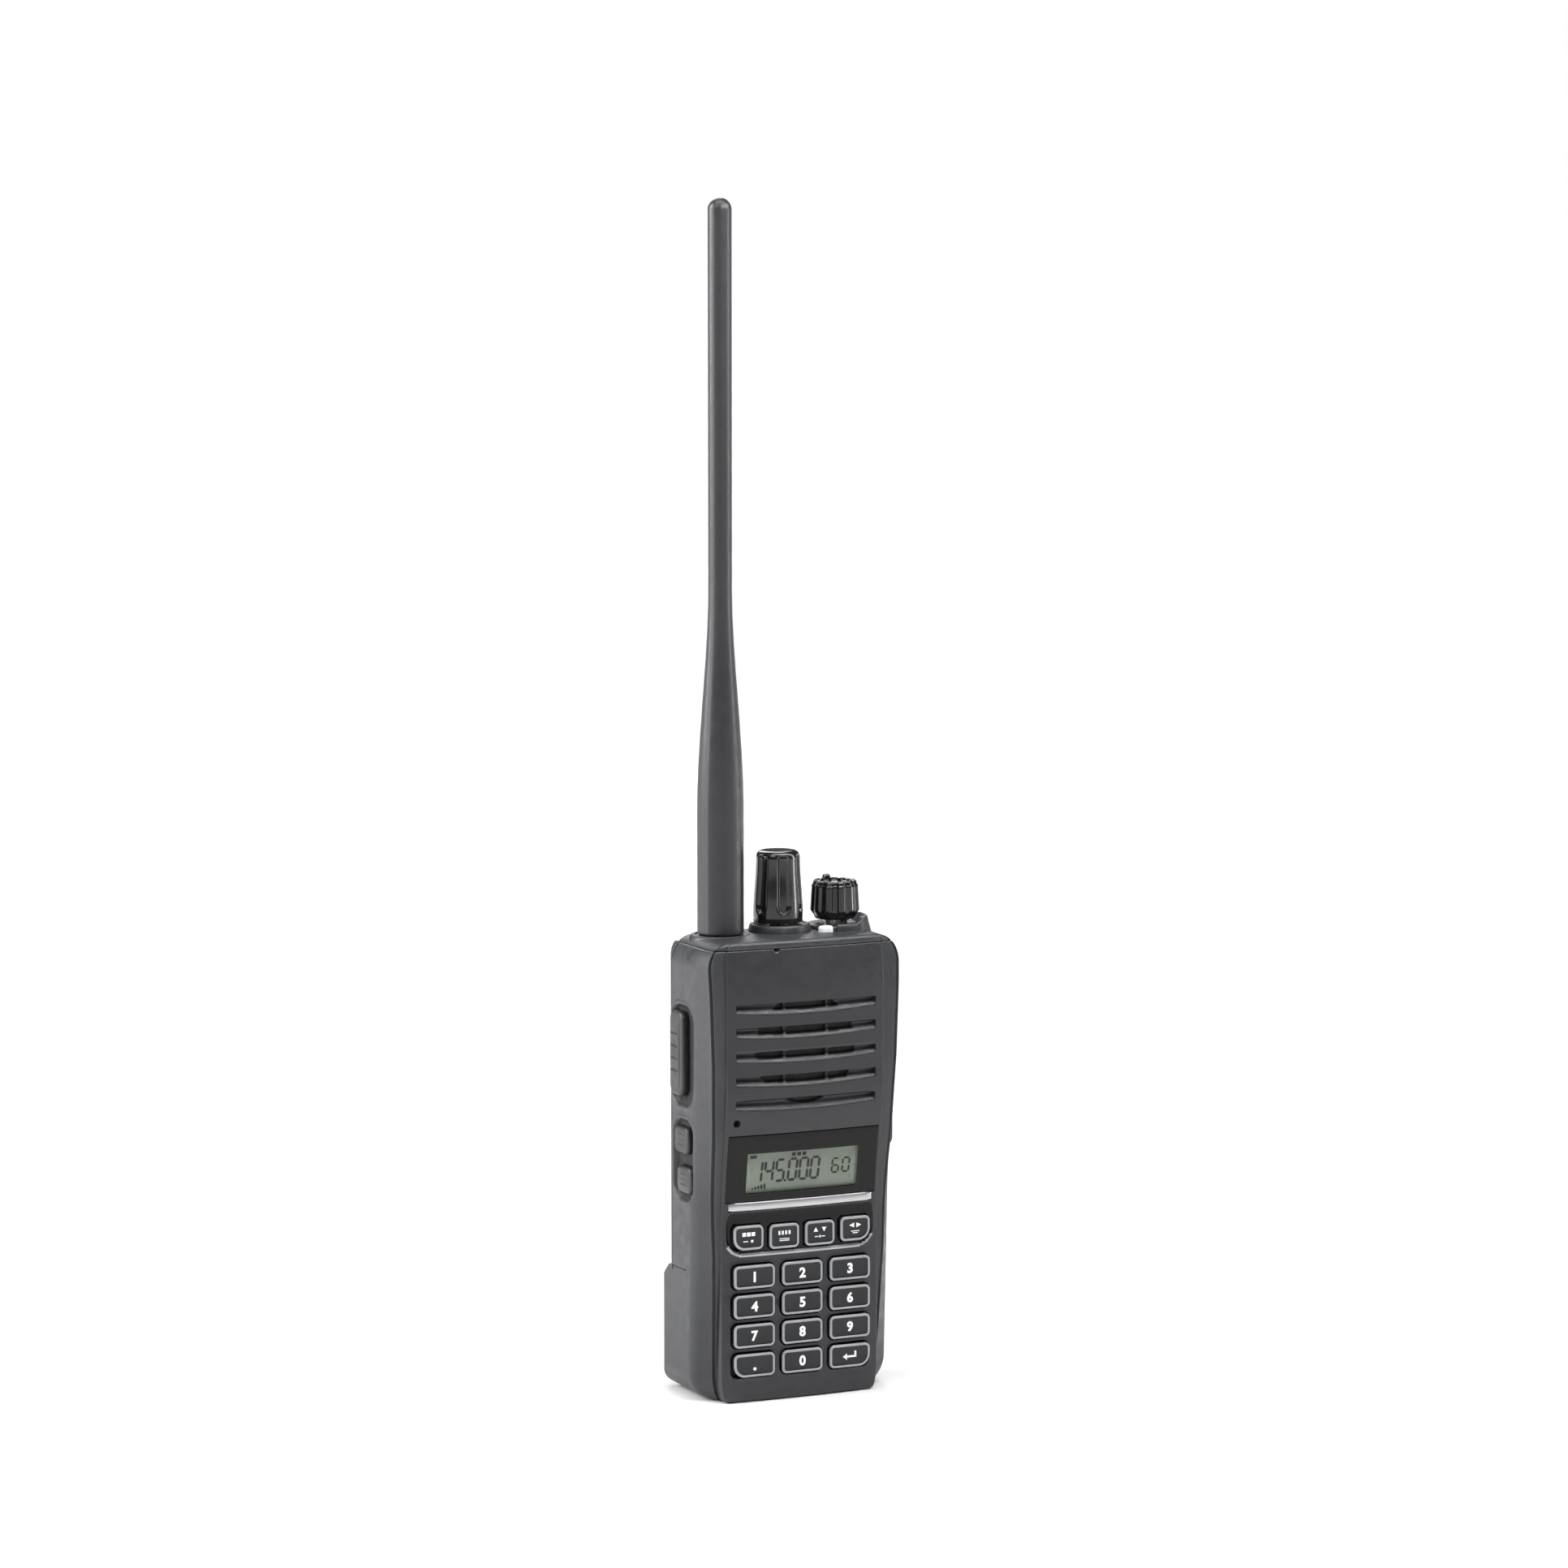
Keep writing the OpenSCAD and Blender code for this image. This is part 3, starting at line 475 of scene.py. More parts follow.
def side_wells(y, z, left):
    """Depth below the side wall and the material, for points of one side. On the left the black of the
    shallow field is the rubber sheet's own colour and in the holes round the caps it is painted shade; on the
    right it is painted shade in the jack recesses and bores.
    """
    depth = np.zeros_like(y)
    mat = np.full(y.shape, PLASTIC)

    def sink(s, d, m=None, lip=0.35):
        nonlocal depth, mat
        new = d * smooth(s / lip)
        depth = np.where((s > 0) & (new > depth), new, depth)
        if m is not None:
            mat = np.where(s > lip * 0.9, m, mat)

    if left:
        a = rect_sdf(y, z, -1.75, 83.9, 13.5, 24.8, 5)
        b = rect_sdf(y, z, -2.4, 58.6, 11.6, 20.2, 4.5)
        both = np.minimum(a, b)
        # the shallow field's black is the rubber sheet's own colour
        sink(-both, 1.0, SHADE_AND_RUBBER, 0.9)
        depth = depth - 0.22 * np.exp(-((both - 0.35) / 0.35) ** 2)
        # painted shade: black inside the holes round the talk bar and side keys
        for hole in SIDE_HOLES:
            sink(-rect_sdf(y, z, *hole), 1.55, SHADE_AND_RUBBER, 0.25)
    else:
        # painted shade: black inside the jack recesses and bores
        for jack_z, bore, _ in JACKS:
            sink(-rect_sdf(y, z, JACK_Y, jack_z, 6.4, 7.0, 0.8), 1.0, SHADE_AND_RUBBER, 0.25)
            sink(bore - np.hypot(y - JACK_Y, z - jack_z), 10.0, SHADE_AND_RUBBER, 0.3)
    return depth, mat


# --- front case

def case_rows():
    """Heights of the case's rows and the rear edge of each, with two rows at the step over the battery."""
    ends = [0.0, 0.12, 0.35, 0.7, 1.15]
    middle = list(np.arange(1.5, SEAM_Z - 0.45, 0.3))
    rows = [(z, LOW_REAR_Y) for z in ends + [m for m in middle if m < STEP_Z - 0.1]]
    rows += [(STEP_Z, LOW_REAR_Y), (STEP_Z, REAR_Y)]
    rows += [(z, REAR_Y) for z in middle if z > STEP_Z + 0.1]
    rows += [(SEAM_Z - z, REAR_Y) for z in (0.4, 0.2, 0.08, 0.0)]
    return rows


def end_rounding(height, r):
    """How far a rounded end of radius r draws in at this height from it."""
    return r - math.sqrt(max(0, r ** 2 - (r - height) ** 2)) if height < r else 0


def front_case():
    """The shell: a fine outer grid shaped by the wells, a coarse inner skin, and the rims that join them."""
    rows = case_rows()
    base, marks = [], None
    for z, rear in rows:
        half, marks = section(z, rear)
        half = clamp_half(half, z, end_rounding(z, 1.15) + end_rounding(SEAM_Z - z, 0.4))
        left = half[1:][::-1] * (-1, 1)
        base.append(np.concatenate([left, half]))
    base = np.array(base)
    n_rows, n_cols = base.shape[:2]
    zz = np.repeat(np.array([r[0] for r in rows])[:, None], n_cols, axis=1)
    n_half = (n_cols + 1) // 2
    col = np.abs(np.arange(n_cols) - (n_half - 1))
    grid = np.stack([base[..., 0], base[..., 1], zz], axis=2)
    outer = grid.copy()
    mats = np.full((n_rows, n_cols), PLASTIC)
    # the plate and its wells
    on_plate = col <= marks[0] + 1
    depth, mat = front_wells(grid[:, on_plate, 0], grid[:, on_plate, 2])
    outer[:, on_plate, 1] += depth
    mats[:, on_plate] = mat
    # the sides and their wells
    for side in (-1, 1):
        on_side = (col >= marks[1] + 8) & (np.sign(np.arange(n_cols) - (n_half - 1)) == side)
        depth, mat = side_wells(grid[:, on_side, 1], grid[:, on_side, 2], side < 0)
        fade = smooth((col[on_side] - marks[1] - 7.5) / 4)[None, :]
        outer[:, on_side, 0] -= side * depth * np.where(depth < 1.2, fade, 1)
        mats[:, on_side] = np.where(depth * fade > 0.05, mat, PLASTIC)
    # the inner skin, on every fourth row and third column, black as painted shade inside the case
    step_rows = [i for i, r in enumerate(rows) if r[0] == STEP_Z]
    keep_r = sorted({*range(4, n_rows, 4), n_rows - 1, *step_rows})
    keep_c = sorted({*range(0, n_cols, 3), n_cols - 1})
    tangent = np.gradient(grid, axis=1)
    normal = np.stack([tangent[..., 1], -tangent[..., 0]], axis=2)
    normal /= np.maximum(np.linalg.norm(normal, axis=2, keepdims=True), 1e-9)
    thick = np.where(col <= marks[1], 2.75, 1.7)[None, :] * np.ones((n_rows, 1))
    on_right = (grid[..., 0] > 20) & (col > marks[2])[None, :]
    for jack_z, _, boss in JACKS:
        near = np.hypot(grid[..., 1] - JACK_Y, grid[..., 2] - jack_z) < boss
        thick = np.where(near & on_right, 11.0, thick)
    inner = grid.copy()
    inner[..., :2] -= normal * thick[..., None]
    inner[..., 1] = np.minimum(inner[..., 1], np.where(col > marks[2], 99, REAR_Y)[None, :])
    inner[:, [0, -1], 1] = grid[:, [0, -1], 1]
    small = inner[np.ix_(keep_r, keep_c)]
    shape = Shape()
    quads = [[r * n_cols + c, r * n_cols + c + 1, (r + 1) * n_cols + c + 1, (r + 1) * n_cols + c]
             for r in range(n_rows - 1) for c in range(n_cols - 1)]
    here, beyond = mats[:-1, :-1], mats[1:, 1:]
    quad_mat = np.maximum(here * (here != PLATE), beyond * (beyond != PLATE))
    quad_mat = np.where((here == PLATE) & (beyond == PLATE), PLATE, quad_mat)
    faces, index = quads, list(quad_mat.reshape(-1))
    m_rows, m_cols = len(keep_r), len(keep_c)
    off = n_rows * n_cols

    def sm(r, c):
        return off + r * m_cols + c

    for r in range(m_rows - 1):
        for c in range(m_cols - 1):
            faces.append([sm(r, c), sm(r + 1, c), sm(r + 1, c + 1), sm(r, c + 1)])
            index.append(SHADE_AND_RUBBER)
    top = (n_rows - 1) * n_cols
    for i in range(m_cols - 1):  # rim along the top
        run = [top + c for c in range(keep_c[i], keep_c[i + 1] + 1)]
        faces.append([sm(m_rows - 1, i + 1), sm(m_rows - 1, i)] + run)
        index.append(PLASTIC)
    for edge, e in ((0, 0), (m_cols - 1, n_cols - 1)):  # rims along the two rear edges
        for i in range(m_rows - 1):
            run = [r * n_cols + e for r in range(keep_r[i], keep_r[i + 1] + 1)]
            faces.append([sm(i + 1, edge), sm(i, edge)] + run)
            index.append(PLASTIC)
    # the floor: outside, inside, and the narrow rear edge between them; the inside one is black as painted
    # shade
    faces.append(list(range(n_cols)))
    index.append(PLASTIC)
    faces.append([sm(0, c) for c in range(m_cols)])
    index.append(SHADE_AND_RUBBER)
    side_l = [r * n_cols for r in range(0, keep_r[0] + 1)]
    side_r = [r * n_cols + n_cols - 1 for r in range(0, keep_r[0] + 1)]
    faces.append(side_l[::-1] + side_r + [sm(0, m_cols - 1), sm(0, 0)])
    index.append(PLASTIC)
    shape.add(np.concatenate([outer.reshape(-1, 3), small.reshape(-1, 3)]), faces, index)
    shape.done("radio_front_case", CASE_MATS, ["front_case"], angle=50)


front_case()


# --- glyphs

def glyph_mesh(text, height, bold=0.04):
    """Flat outline of generic characters, centred on 0, with the given height in mm."""
    curve = bpy.data.curves.new("glyph", "FONT")
    curve.body, curve.size, curve.offset = text, 1.0, bold
    curve.resolution_u = 5
    obj = show("glyph", curve)
    bpy.context.view_layer.update()
    mesh = bpy.data.meshes.new_from_object(obj.evaluated_get(bpy.context.evaluated_depsgraph_get()))
    pts = np.array([v.co[:2] for v in mesh.vertices])
    faces = [list(p.vertices) for p in mesh.polygons]
    bpy.data.objects.remove(obj)
    bpy.data.curves.remove(curve)
    bpy.data.meshes.remove(mesh)
    pts -= (pts.min(0) + pts.max(0)) / 2
    return pts * height / np.ptp(pts[:, 1]), faces


def add_flat(shape, pts, faces, to_point, index, lift=0.05, bury=0.05):
    """A thin closed plate of a flat outline: to_point(u, v, lift) places a point."""
    n = len(pts)
    top = [to_point(u, v, lift) for u, v in pts]
    low = [to_point(u, v, -bury) for u, v in pts]
    edges = {(a, b): True for f in faces for a, b in zip(f, f[1:] + f[:1])}
    rim = [(a, b) for a, b in edges if (b, a) not in edges]
    out = [list(f) for f in faces] + [[i + n for i in f[::-1]] for f in faces]
    out += [[b, a, a + n, b + n] for a, b in rim]
    shape.add(top + low, out, index)


def bar(x0, z0, x1, z1):
    return [(x0, z0), (x1, z0), (x1, z1), (x0, z1)]


def bar_glyph(bars):
    """Outlines of plain bars (x, y, width, height), for symbols that stand in for labels."""
    return polygon_glyph([bar(x - w / 2, y - h / 2, x + w / 2, y + h / 2) for x, y, w, h in bars])


def polygon_glyph(polygons):
    """Outlines of plain polygons given by their corners."""
    pts, faces = [], []
    for t in polygons:
        k = len(pts)
        pts += list(t)
        faces.append(list(range(k, k + len(t))))
    return np.array(pts, float), faces


# --- keys

def key_piece(node, w, h, proud, glyphs):
    """A key cap with a silver-grey rim, a slightly crowned dark top and its printed mark."""
    cx, _, cz = centre(node)
    front = -KEYPAD_DEPTH - proud
    radii = corner_radii(node)

    def ring(inset, y):
        pts = outline(w - 2 * inset, h - 2 * inset, [max(0.15, r - inset) for r in radii])
        return [(cx + u, y, cz + v) for u, v in pts]

    shape = Shape()
    skirt = [(0.1, 1.5), (0.0, 1.25)]
    silver = [(0.0, 0.32), (0.05, 0.14), (0.17, 0.03), (0.3, 0.0), (0.52, 0.0)]
    top = [(0.6, 0.07), (1.1, 0.1), (1.9, 0.12), (2.5, 0.125)]
    rings = [ring(inset, front + back) for inset, back in skirt + silver + top]
    shape.rings(rings, [0] * len(skirt) + [1] * len(silver) + [0] * len(top))
    for pts, faces, rise in glyphs:
        add_flat(shape, pts, faces, lambda u, v, lift: (cx + u, front + 0.11 - lift * 0.9, cz + v + rise), 2)
    shape.done("cap_" + node, ["key_top", "key_rim", "key_ink"], [node], body=node + "_body", angle=40)


ARROW_HEAD = [(-1.9, -0.2), (-0.8, -1.0), (-0.8, 0.6)]
ENTER = polygon_glyph([ARROW_HEAD, bar(-0.85, -0.45, 1.7, 0.05), bar(1.2, 0.0, 1.7, 1.1)])
DOT = [(0.42 * math.cos(a), 0.42 * math.sin(a)) for a in np.linspace(0, 2 * math.pi, 13)[:-1]]
DIGIT_HEIGHT, KEY_PROUD, FKEY_PROUD, MARK_RISE = 2.55, 0.9, 0.7, 0.85
for node in sum(KEY_NODES, []):
    if node == "key_enter":
        mark = (*ENTER, 0.0)
    elif node == "key_point":
        mark = (*polygon_glyph([DOT]), -0.9)
    else:
        mark = (*glyph_mesh(node[-1], DIGIT_HEIGHT), 0.0)
    key_piece(node, KEY_W, KEY_H, KEY_PROUD, [mark])

SMALL_BARS = bar_glyph([(x, 0, 0.5, 0.95) for x in (-1.35, -0.45, 0.45, 1.35)])
UP_DOWN = polygon_glyph([[(-1.7, -0.5), (-0.5, -0.5), (-1.1, 0.6)], [(0.5, 0.5), (1.7, 0.5), (1.1, -0.6)]])
ARROWS = polygon_glyph([[(-0.3, -0.6), (-0.3, 0.6), (-1.6, 0)], [(0.3, 0.6), (0.3, -0.6), (1.6, 0)]])
SQUARES = bar_glyph([(x, 0, 0.95, 0.95) for x in (-1.2, 0, 1.2)])
THIN = [bar_glyph(bars) for bars in (
    [(-0.8, 0, 1.2, 0.22), (0.9, 0, 0.6, 0.6)],
    [(0, 0.22, 2.6, 0.2), (0, -0.22, 2.6, 0.2)],
    [(-0.9, 0, 0.9, 0.22), (0.9, 0, 0.9, 0.22), (0, 0, 0.35, 0.6)],
    [(0, 0.22, 2.2, 0.2), (0, -0.22, 1.4, 0.2)],
)]
for node, top_mark, low_mark in zip(FUNCTION_NODES, (SQUARES, SMALL_BARS, UP_DOWN, ARROWS), THIN):
    key_piece(node, FKEY_W, FKEY_H, FKEY_PROUD, [(*top_mark, MARK_RISE), (*low_mark, -MARK_RISE)])


# --- display

WIN_Z0, WIN_Z1 = win_lo[2], win_hi[2]


def window_point(x, z, depth):
    """A point depth mm behind the tilted plane of the window."""
    y0, y1 = float(face_y(WIN_Z0)), float(face_y(WIN_Z1))
    return x, y0 + (y1 - y0) * (z - WIN_Z0) / (WIN_Z1 - WIN_Z0) + depth, z


def window_bow(x, z):
    """How far the window's front follows the plate round it."""
    return float(plate_y(x, z)) - window_point(x, z, 0)[1]


def display_window():
    """The gloss black window with a clear middle, following the plate round it."""
    shape = Shape()
    half, z0, z1 = 19.88, WIN_Z0 + 0.06, WIN_Z1 - 0.06
    side = np.linspace(15.0, half, 9)
    xs = np.concatenate([-side[::-1], np.linspace(-14.7, 14.7, 25), side])
    zs = np.concatenate([np.linspace(z0, 50.9, 4), np.linspace(51.1, 61.0, 10), np.linspace(61.3, z1, 6)])

    def lip(x, z):
        return 0.12 if min(half - abs(x), z - z0, z1 - z) < 0.01 else 0.02

    n, m = len(zs), len(xs)
    verts = [window_point(x, z, window_bow(x, z) + lip(x, z)) for z in zs for x in xs]
    verts += [window_point(x, z, window_bow(x, z) + 0.85) for z in zs for x in xs]
    faces, index = [], []
    for r in range(n - 1):
        for c in range(m - 1):
            clear = abs(xs[c] + xs[c + 1]) / 2 < 14.8 and 51.0 < (zs[r] + zs[r + 1]) / 2 < 61.15
            a = r * m + c
            faces.append([a, a + 1, a + m + 1, a + m])
            faces.append([n * m + a, n * m + a + m, n * m + a + m + 1, n * m + a + 1])
            index += [1 if clear else 0] * 2
    loop = list(range(m)) + [r * m + m - 1 for r in range(1, n)]
    loop += [(n - 1) * m + c for c in range(m - 2, -1, -1)] + [r * m for r in range(n - 2, 0, -1)]
    for a, b in zip(loop, loop[1:] + loop[:1]):
        faces.append([b, a, a + n * m, b + n * m])
        index.append(0)
    shape.add(verts, faces, index)
    shape.done("radio_window", ["window_gloss", "window_clear"], ["display_window"])


SEGMENTS = {"0": "abcdef", "1": "bc", "4": "fgbc", "5": "afgcd", "6": "afgedc"}


def seven_segment(char, x, z, w, h, t):
    """Polygons of the lit bars of one digit, slightly slanted."""
    out, gap, k = [], 0.12, t / 2
    zm = z + h / 2
    spans = {"a": (x, z + h, x + w, z + h), "d": (x, z, x + w, z), "g": (x, zm, x + w, zm),
             "f": (x, zm, x, z + h), "b": (x + w, zm, x + w, z + h), "e": (x, z, x, zm),
             "c": (x + w, z, x + w, zm)}
    for s in SEGMENTS[char]:
        x0, z0, x1, z1 = spans[s]
        if x0 == x1:
            z0, z1 = z0 + gap, z1 - gap
            left, right, low, high = x0 - k, x0 + k, z0 + k, z1 - k
            poly = [(x0, z0), (right, low), (right, high), (x0, z1), (left, high), (left, low)]
        else:
            x0, x1 = x0 + gap, x1 - gap
            left, right, low, high = x0 + k, x1 - k, z0 - k, z0 + k
            poly = [(x0, z0), (left, low), (right, low), (x1, z0), (right, high), (left, high)]
        out.append([(px + 0.06 * (pz - z), pz) for px, pz in poly])
    return out


def lcd():
    """The LCD glass with a plain frame band round its face, and its lit segments."""
    shape = Shape()
    lo_x, hi_x, lo_z, hi_z = -16.4, 16.4, 50.0, 62.2
    rings = []
    for inset, depth in ((0, 2.2), (0, 1.45), (0.15, 1.35), (1.0, 1.35)):
        pts = outline(hi_x - lo_x - 2 * inset, hi_z - lo_z - 2 * inset, 0.4, 4)
        rings.append([window_point(u, v + (lo_z + hi_z) / 2, depth) for u, v in pts])
    shape.rings(rings)
    polys = []
    text_x, pitch = -12.6, 2.95
    for char in "145.000":
        if char == ".":
            polys.append(bar(text_x - 0.6, 53.3, text_x - 0.05, 53.85))
            text_x += 0.35
        else:
            polys += seven_segment(char, text_x, 53.6, 2.05, 5.2, 0.62)
            text_x += pitch
    for char, x in (("6", 8.2), ("0", 11.0)):
        polys += seven_segment(char, x, 54.6, 1.7, 3.4, 0.45)
    for k in range(5):  # signal bars
        x = -12.9 + 0.8 * k
        polys.append(bar(x, 51.9, x + 0.5, 52.3 + 0.22 * k))
    polys.append(bar(-13.6, 59.6, -11.9, 60.4))
    for x in (-2.6, -1.2, 0.2):  # small squares for the mode marks
        polys.append(bar(x, 59.5, x + 1.0, 60.4))
    pts, faces = polygon_glyph(polys)
    add_flat(shape, pts, faces, lambda u, v, lift: window_point(u, v, 1.33 - lift), 1, 0.04, 0.02)
    shape.done("radio_lcd", ["lcd_glass", "lcd_ink"], ["lcd_panel"])


def silver_trim():
    """Bright bar under the window, with soft long edges and drawn-in ends."""
    shape = Shape()
    z0, z1 = trim_lo[2], trim_hi[2]
    rings = []
    for x in np.linspace(trim_lo[0], trim_hi[0], 41):
        end = 0.25 if abs(x) > 18.99 else 0
        back = float(plate_y(x, 48))
        y = back + end
        rings.append([(x, back + 1.0, z0 + end), (x, y - 0.02, z0 + end), (x, y - 0.24, z0 + 0.22),
                      (x, y - 0.3, z0 + 0.55), (x, y - 0.3, z1 - 0.5), (x, y - 0.2, z1 - 0.15),
                      (x, y, z1 - end), (x, back + 1.0, z1 - end)])
    shape.rings(rings)
    shape.done("radio_trim", ["silver_trim"], ["silver_trim"])


display_window()
lcd()
silver_trim()


# --- round parts

def lathe(shape, x, profile, radius, turns):
    """Rings round an upright axis at X; radius((r, z), angles) shapes each ring of the profile."""
    angles = np.linspace(0, 2 * math.pi, turns, endpoint=False)
    rings = []
    for item in profile:
        r = radius(item, angles) * np.ones(turns)
        rings.append(np.stack([x + r * np.cos(angles), r * np.sin(angles), np.full(turns, item[1])], axis=1))
    return shape.rings(rings)


dial_lo, dial_hi = box_mm("dial_knob")
ant_lo, ant_hi = box_mm("antenna_sheath")
VOL_X, ANT_X = centre("volume_knob")[0], centre("antenna_sheath")[0]
DIAL_R, DIAL_Z0, DIAL_Z1 = dial_hi[0], dial_lo[2], dial_hi[2]


def angle_from(angles, centre):
    return np.abs((angles - centre + math.pi) % (2 * math.pi) - math.pi)


def dial_knob():
    """Tall gloss knob: six U-shaped flutes, a domed top and a toothed lower edge."""
    shape = Shape()
    h = DIAL_Z1 - DIAL_Z0
    top_r = DIAL_R * 0.875
    foot = [(0.7, 0.0), (0.35, 0.06), (0.12, 0.3), (0.12, 1.0), (0.0, 1.15)]
    profile = [(DIAL_R - back, z) for back, z in foot]
    taper = (DIAL_R - top_r) * 0.95
    dome = 1.5
    profile += [(DIAL_R - taper * smooth((t - 1.3) / (h - 2.6)), t) for t in np.linspace(1.3, h - dome, 44)]
    profile += [(top_r - dome + dome * math.cos(a), h - dome + dome * math.sin(a))
                for a in np.linspace(0.12, math.pi / 2, 12)]
    profile += [(top_r - 2.2, h - 0.03), (1.5, h - 0.05), (0.3, h - 0.05)]

    def radius(item, angles):
        r, z = item[0], item[1] - DIAL_Z0
        out = np.full(angles.shape, r)
        for k in range(6):
            u = angle_from(angles, math.radians(k * 60 - 40)) * DIAL_R
            rise = z - 2.5
            half = 1.95 * math.sqrt(max(0, 1 - max(0, 1 - rise / 1.9) ** 2)) if rise > 0 else 0
            if half > 0 and z < h - 0.6:
                t = np.clip(1 - u / half, 0, 1)
                out -= 0.95 * smooth(t / 0.55) * smooth((h - 0.6 - z) / 1.4)
        if z < 1.0:
            out += 0.12 * (np.cos(angles * 30) > 0) * smooth((1.0 - z) / 0.2) * (z > 0.02)
        return out

    lathe(shape, 0, [(r, z + DIAL_Z0) for r, z in profile], radius, 240)
    shape.done("knob_dial", ["knob_gloss"], ["dial_knob"], body="dial", angle=60)


def volume_knob():
    """Short gloss knob: rounded ribs round a dished top, with a pointer on its rim."""
    shape = Shape()
    h, r0 = 9.6, 6.15
    z0 = box_mm("volume_knob")[0][2]
    profile = [(r0 - 1.7, 0), (r0 - 1.35, 0.06), (r0 - 0.75, 1.2), (r0 - 0.1, 2.1)]
    profile += [(r0 - 0.1 - 0.35 * t, 2.1 + (h - 3.5) * t) for t in np.linspace(0.05, 1, 18)]
    profile += [(r0 - 0.7 - 0.65 * t * t, h - 1.4 + 1.15 * math.sin(t * math.pi / 2))
                for t in np.linspace(0.1, 1, 8)]
    profile += [(r0 - 1.75, h - 0.35), (r0 - 2.1, h - 0.75), (r0 - 2.6, h - 1.05)]
    profile += [(1.6, h - 1.25), (0.3, h - 1.25)]

    def radius(item, angles):
        r, z = item[0], item[1] - z0
        u = np.abs((angles * 11 / (2 * math.pi)) % 1 - 0.5) * 2
        rib = smooth((u - 0.25) / 0.4)
        keep = smooth((z - 0.9) / 1.0) * (1.0 if r > r0 - 1.9 else 0)
        return r - 0.62 * (1 - rib) * keep

    lathe(shape, VOL_X, [(r, z + z0) for r, z in profile], radius, 264)
    nub = []
    for z, d in ((h - 1.1, 0.0), (h - 0.2, 0.0), (h + 0.35, 0.12), (h + 0.55, 0.35)):
        pts = outline(1.8 - 2 * d, 1.7 - 2 * d, 0.4, 5)
        nub.append([(VOL_X + u, 4.75 + v, z0 + z) for u, v in pts])
    shape.rings(nub)
    shape.done("knob_volume", ["knob_gloss"], ["volume_knob"], body="volume", angle=60)


WHIP_R = 2.85


def sheath_r(h):
    """Radius of the whip at height h above its base: a wide base that flares in to the thin part."""
    base = ant_hi[0] - ANT_X
    return base - (base - WHIP_R) * smooth((h - 28) / 56)


def antenna():
    """Moulded rubber whip: eight shallow flats at its base fade out up the flare, and a domed tip."""
    shape = Shape()
    z0, length = ant_lo[2], ant_hi[2] - ant_lo[2]
    straight = length - WHIP_R
    heights = np.concatenate([np.linspace(1, 90, 75), np.linspace(95, straight - 1, 24)])
    profile = [(4.2, 0.0), (5.35, 0.0), (5.65, 0.12), (5.75, 0.45)]
    profile += [(float(sheath_r(h)), h) for h in heights]
    profile += [(WHIP_R * math.cos(a), straight + WHIP_R * math.sin(a))
                for a in np.linspace(0, math.pi / 2 - 0.08, 12)]

    def radius(item, angles):
        r, h = item[0], item[1] - z0
        flat = np.cos(math.pi / 8) / np.cos((angles + 0.2) % (math.pi / 4) - math.pi / 8)
        fade = 1 - smooth((h - 20) / 42)
        wave = 0.012 * np.sin(h * 0.9 + 3 * angles) * smooth(h / 10)
        return r * (1 + (flat / np.cos(math.pi / 16) - 1) * fade * 0.3 - 0.012 * fade) + wave

    lathe(shape, ANT_X, [(r, z + z0) for r, z in profile], radius, 128)
    shape.done("antenna_whip", ["antenna_rubber"], ["antenna_sheath"], body="antenna", angle=50)


# --- top panel

def plan_ring(z, inset):
    """The body's outline seen from above at height z, from the rear left round the front."""
    level = min(z, BODY_H - 0.02)
    half = clamp_half(section(min(z, SEAM_Z), REAR_Y)[0], level, 0)[::2]
    half = half[half[:, 1] < 3.9]
    rear, r = 7.5, 2.6
    flat = outline_half(level) - r
    corner = [(flat + r * math.cos(a), rear - r + r * math.sin(a)) for a in np.linspace(0, math.pi / 2, 8)]
    right = np.concatenate([half, corner, [(flat * t, rear) for t in (0.75, 0.5, 0.25)]])
    loop = np.concatenate([right, [(0, rear)], (right[1:] * (-1, 1))[::-1]])
    centre = np.array([0, -4.5])
    span = np.abs(loop - centre).max(0)
    return centre + (loop - centre) * (1 - inset / span)


def top_panel():
    """The rounded top of the body, with a neck for the antenna and a raised ring under each knob."""
    shape = Shape()
    steps = [(0.04, 0.35), (0.16, 0.1), (0.4, 0.05), (1.0, 0.1), (1.35, 0.25), (1.65, 0.55), (1.85, 1.0),
             (1.97, 1.7), (2.0, 2.6)]
    shape.rings([[(x, y, SEAM_Z + up) for x, y in plan_ring(SEAM_Z + up, inset)] for up, inset in steps])
    # the neck round the antenna flares down over the rounded corner
    neck = [(5.9, 105.6), (11.2, 105.6), (10.6, 106.4), (9.6, 108.0), (8.6, 109.7), (7.9, 111.1),
            (7.35, 112.1), (7.1, 112.42), (6.85, 112.5), (6.2, 112.5), (6.05, 112.3), (6.0, 111.6)]
    body_side = HALF_W - 0.25

    def neck_radius(item, angles):
        reach = (ANT_X + body_side) / np.maximum(1e-6, -np.cos(angles))
        return np.where(np.cos(angles) < -1e-6, np.minimum(item[0], reach), item[0])

    lathe(shape, ANT_X, neck, neck_radius, 120)
    # ring under the dial, merging towards the volume knob
    ring = [(7.2, 111.5), (7.3, 112.6), (7.05, 113.2), (6.95, 113.75), (6.75, 114.1), (6.5, 114.2),
            (5.7, 114.2), (5.5, 114.0), (3.2, 113.9)]

    def oval(item, angles):
        return item[0] + smooth(np.cos(angles)) * 0.9 * (item[0] > 5.4)

    lathe(shape, 0, ring, oval, 120)
    collar = [(7.1, 111.5), (7.1, 112.9), (6.9, 113.25), (6.6, 113.4), (4.2, 113.4), (3.2, 113.2)]
    lathe(shape, VOL_X, collar, lambda item, a: item[0], 96)
    shape.done("radio_top", ["case_plastic"], ["top_panel"], angle=40)


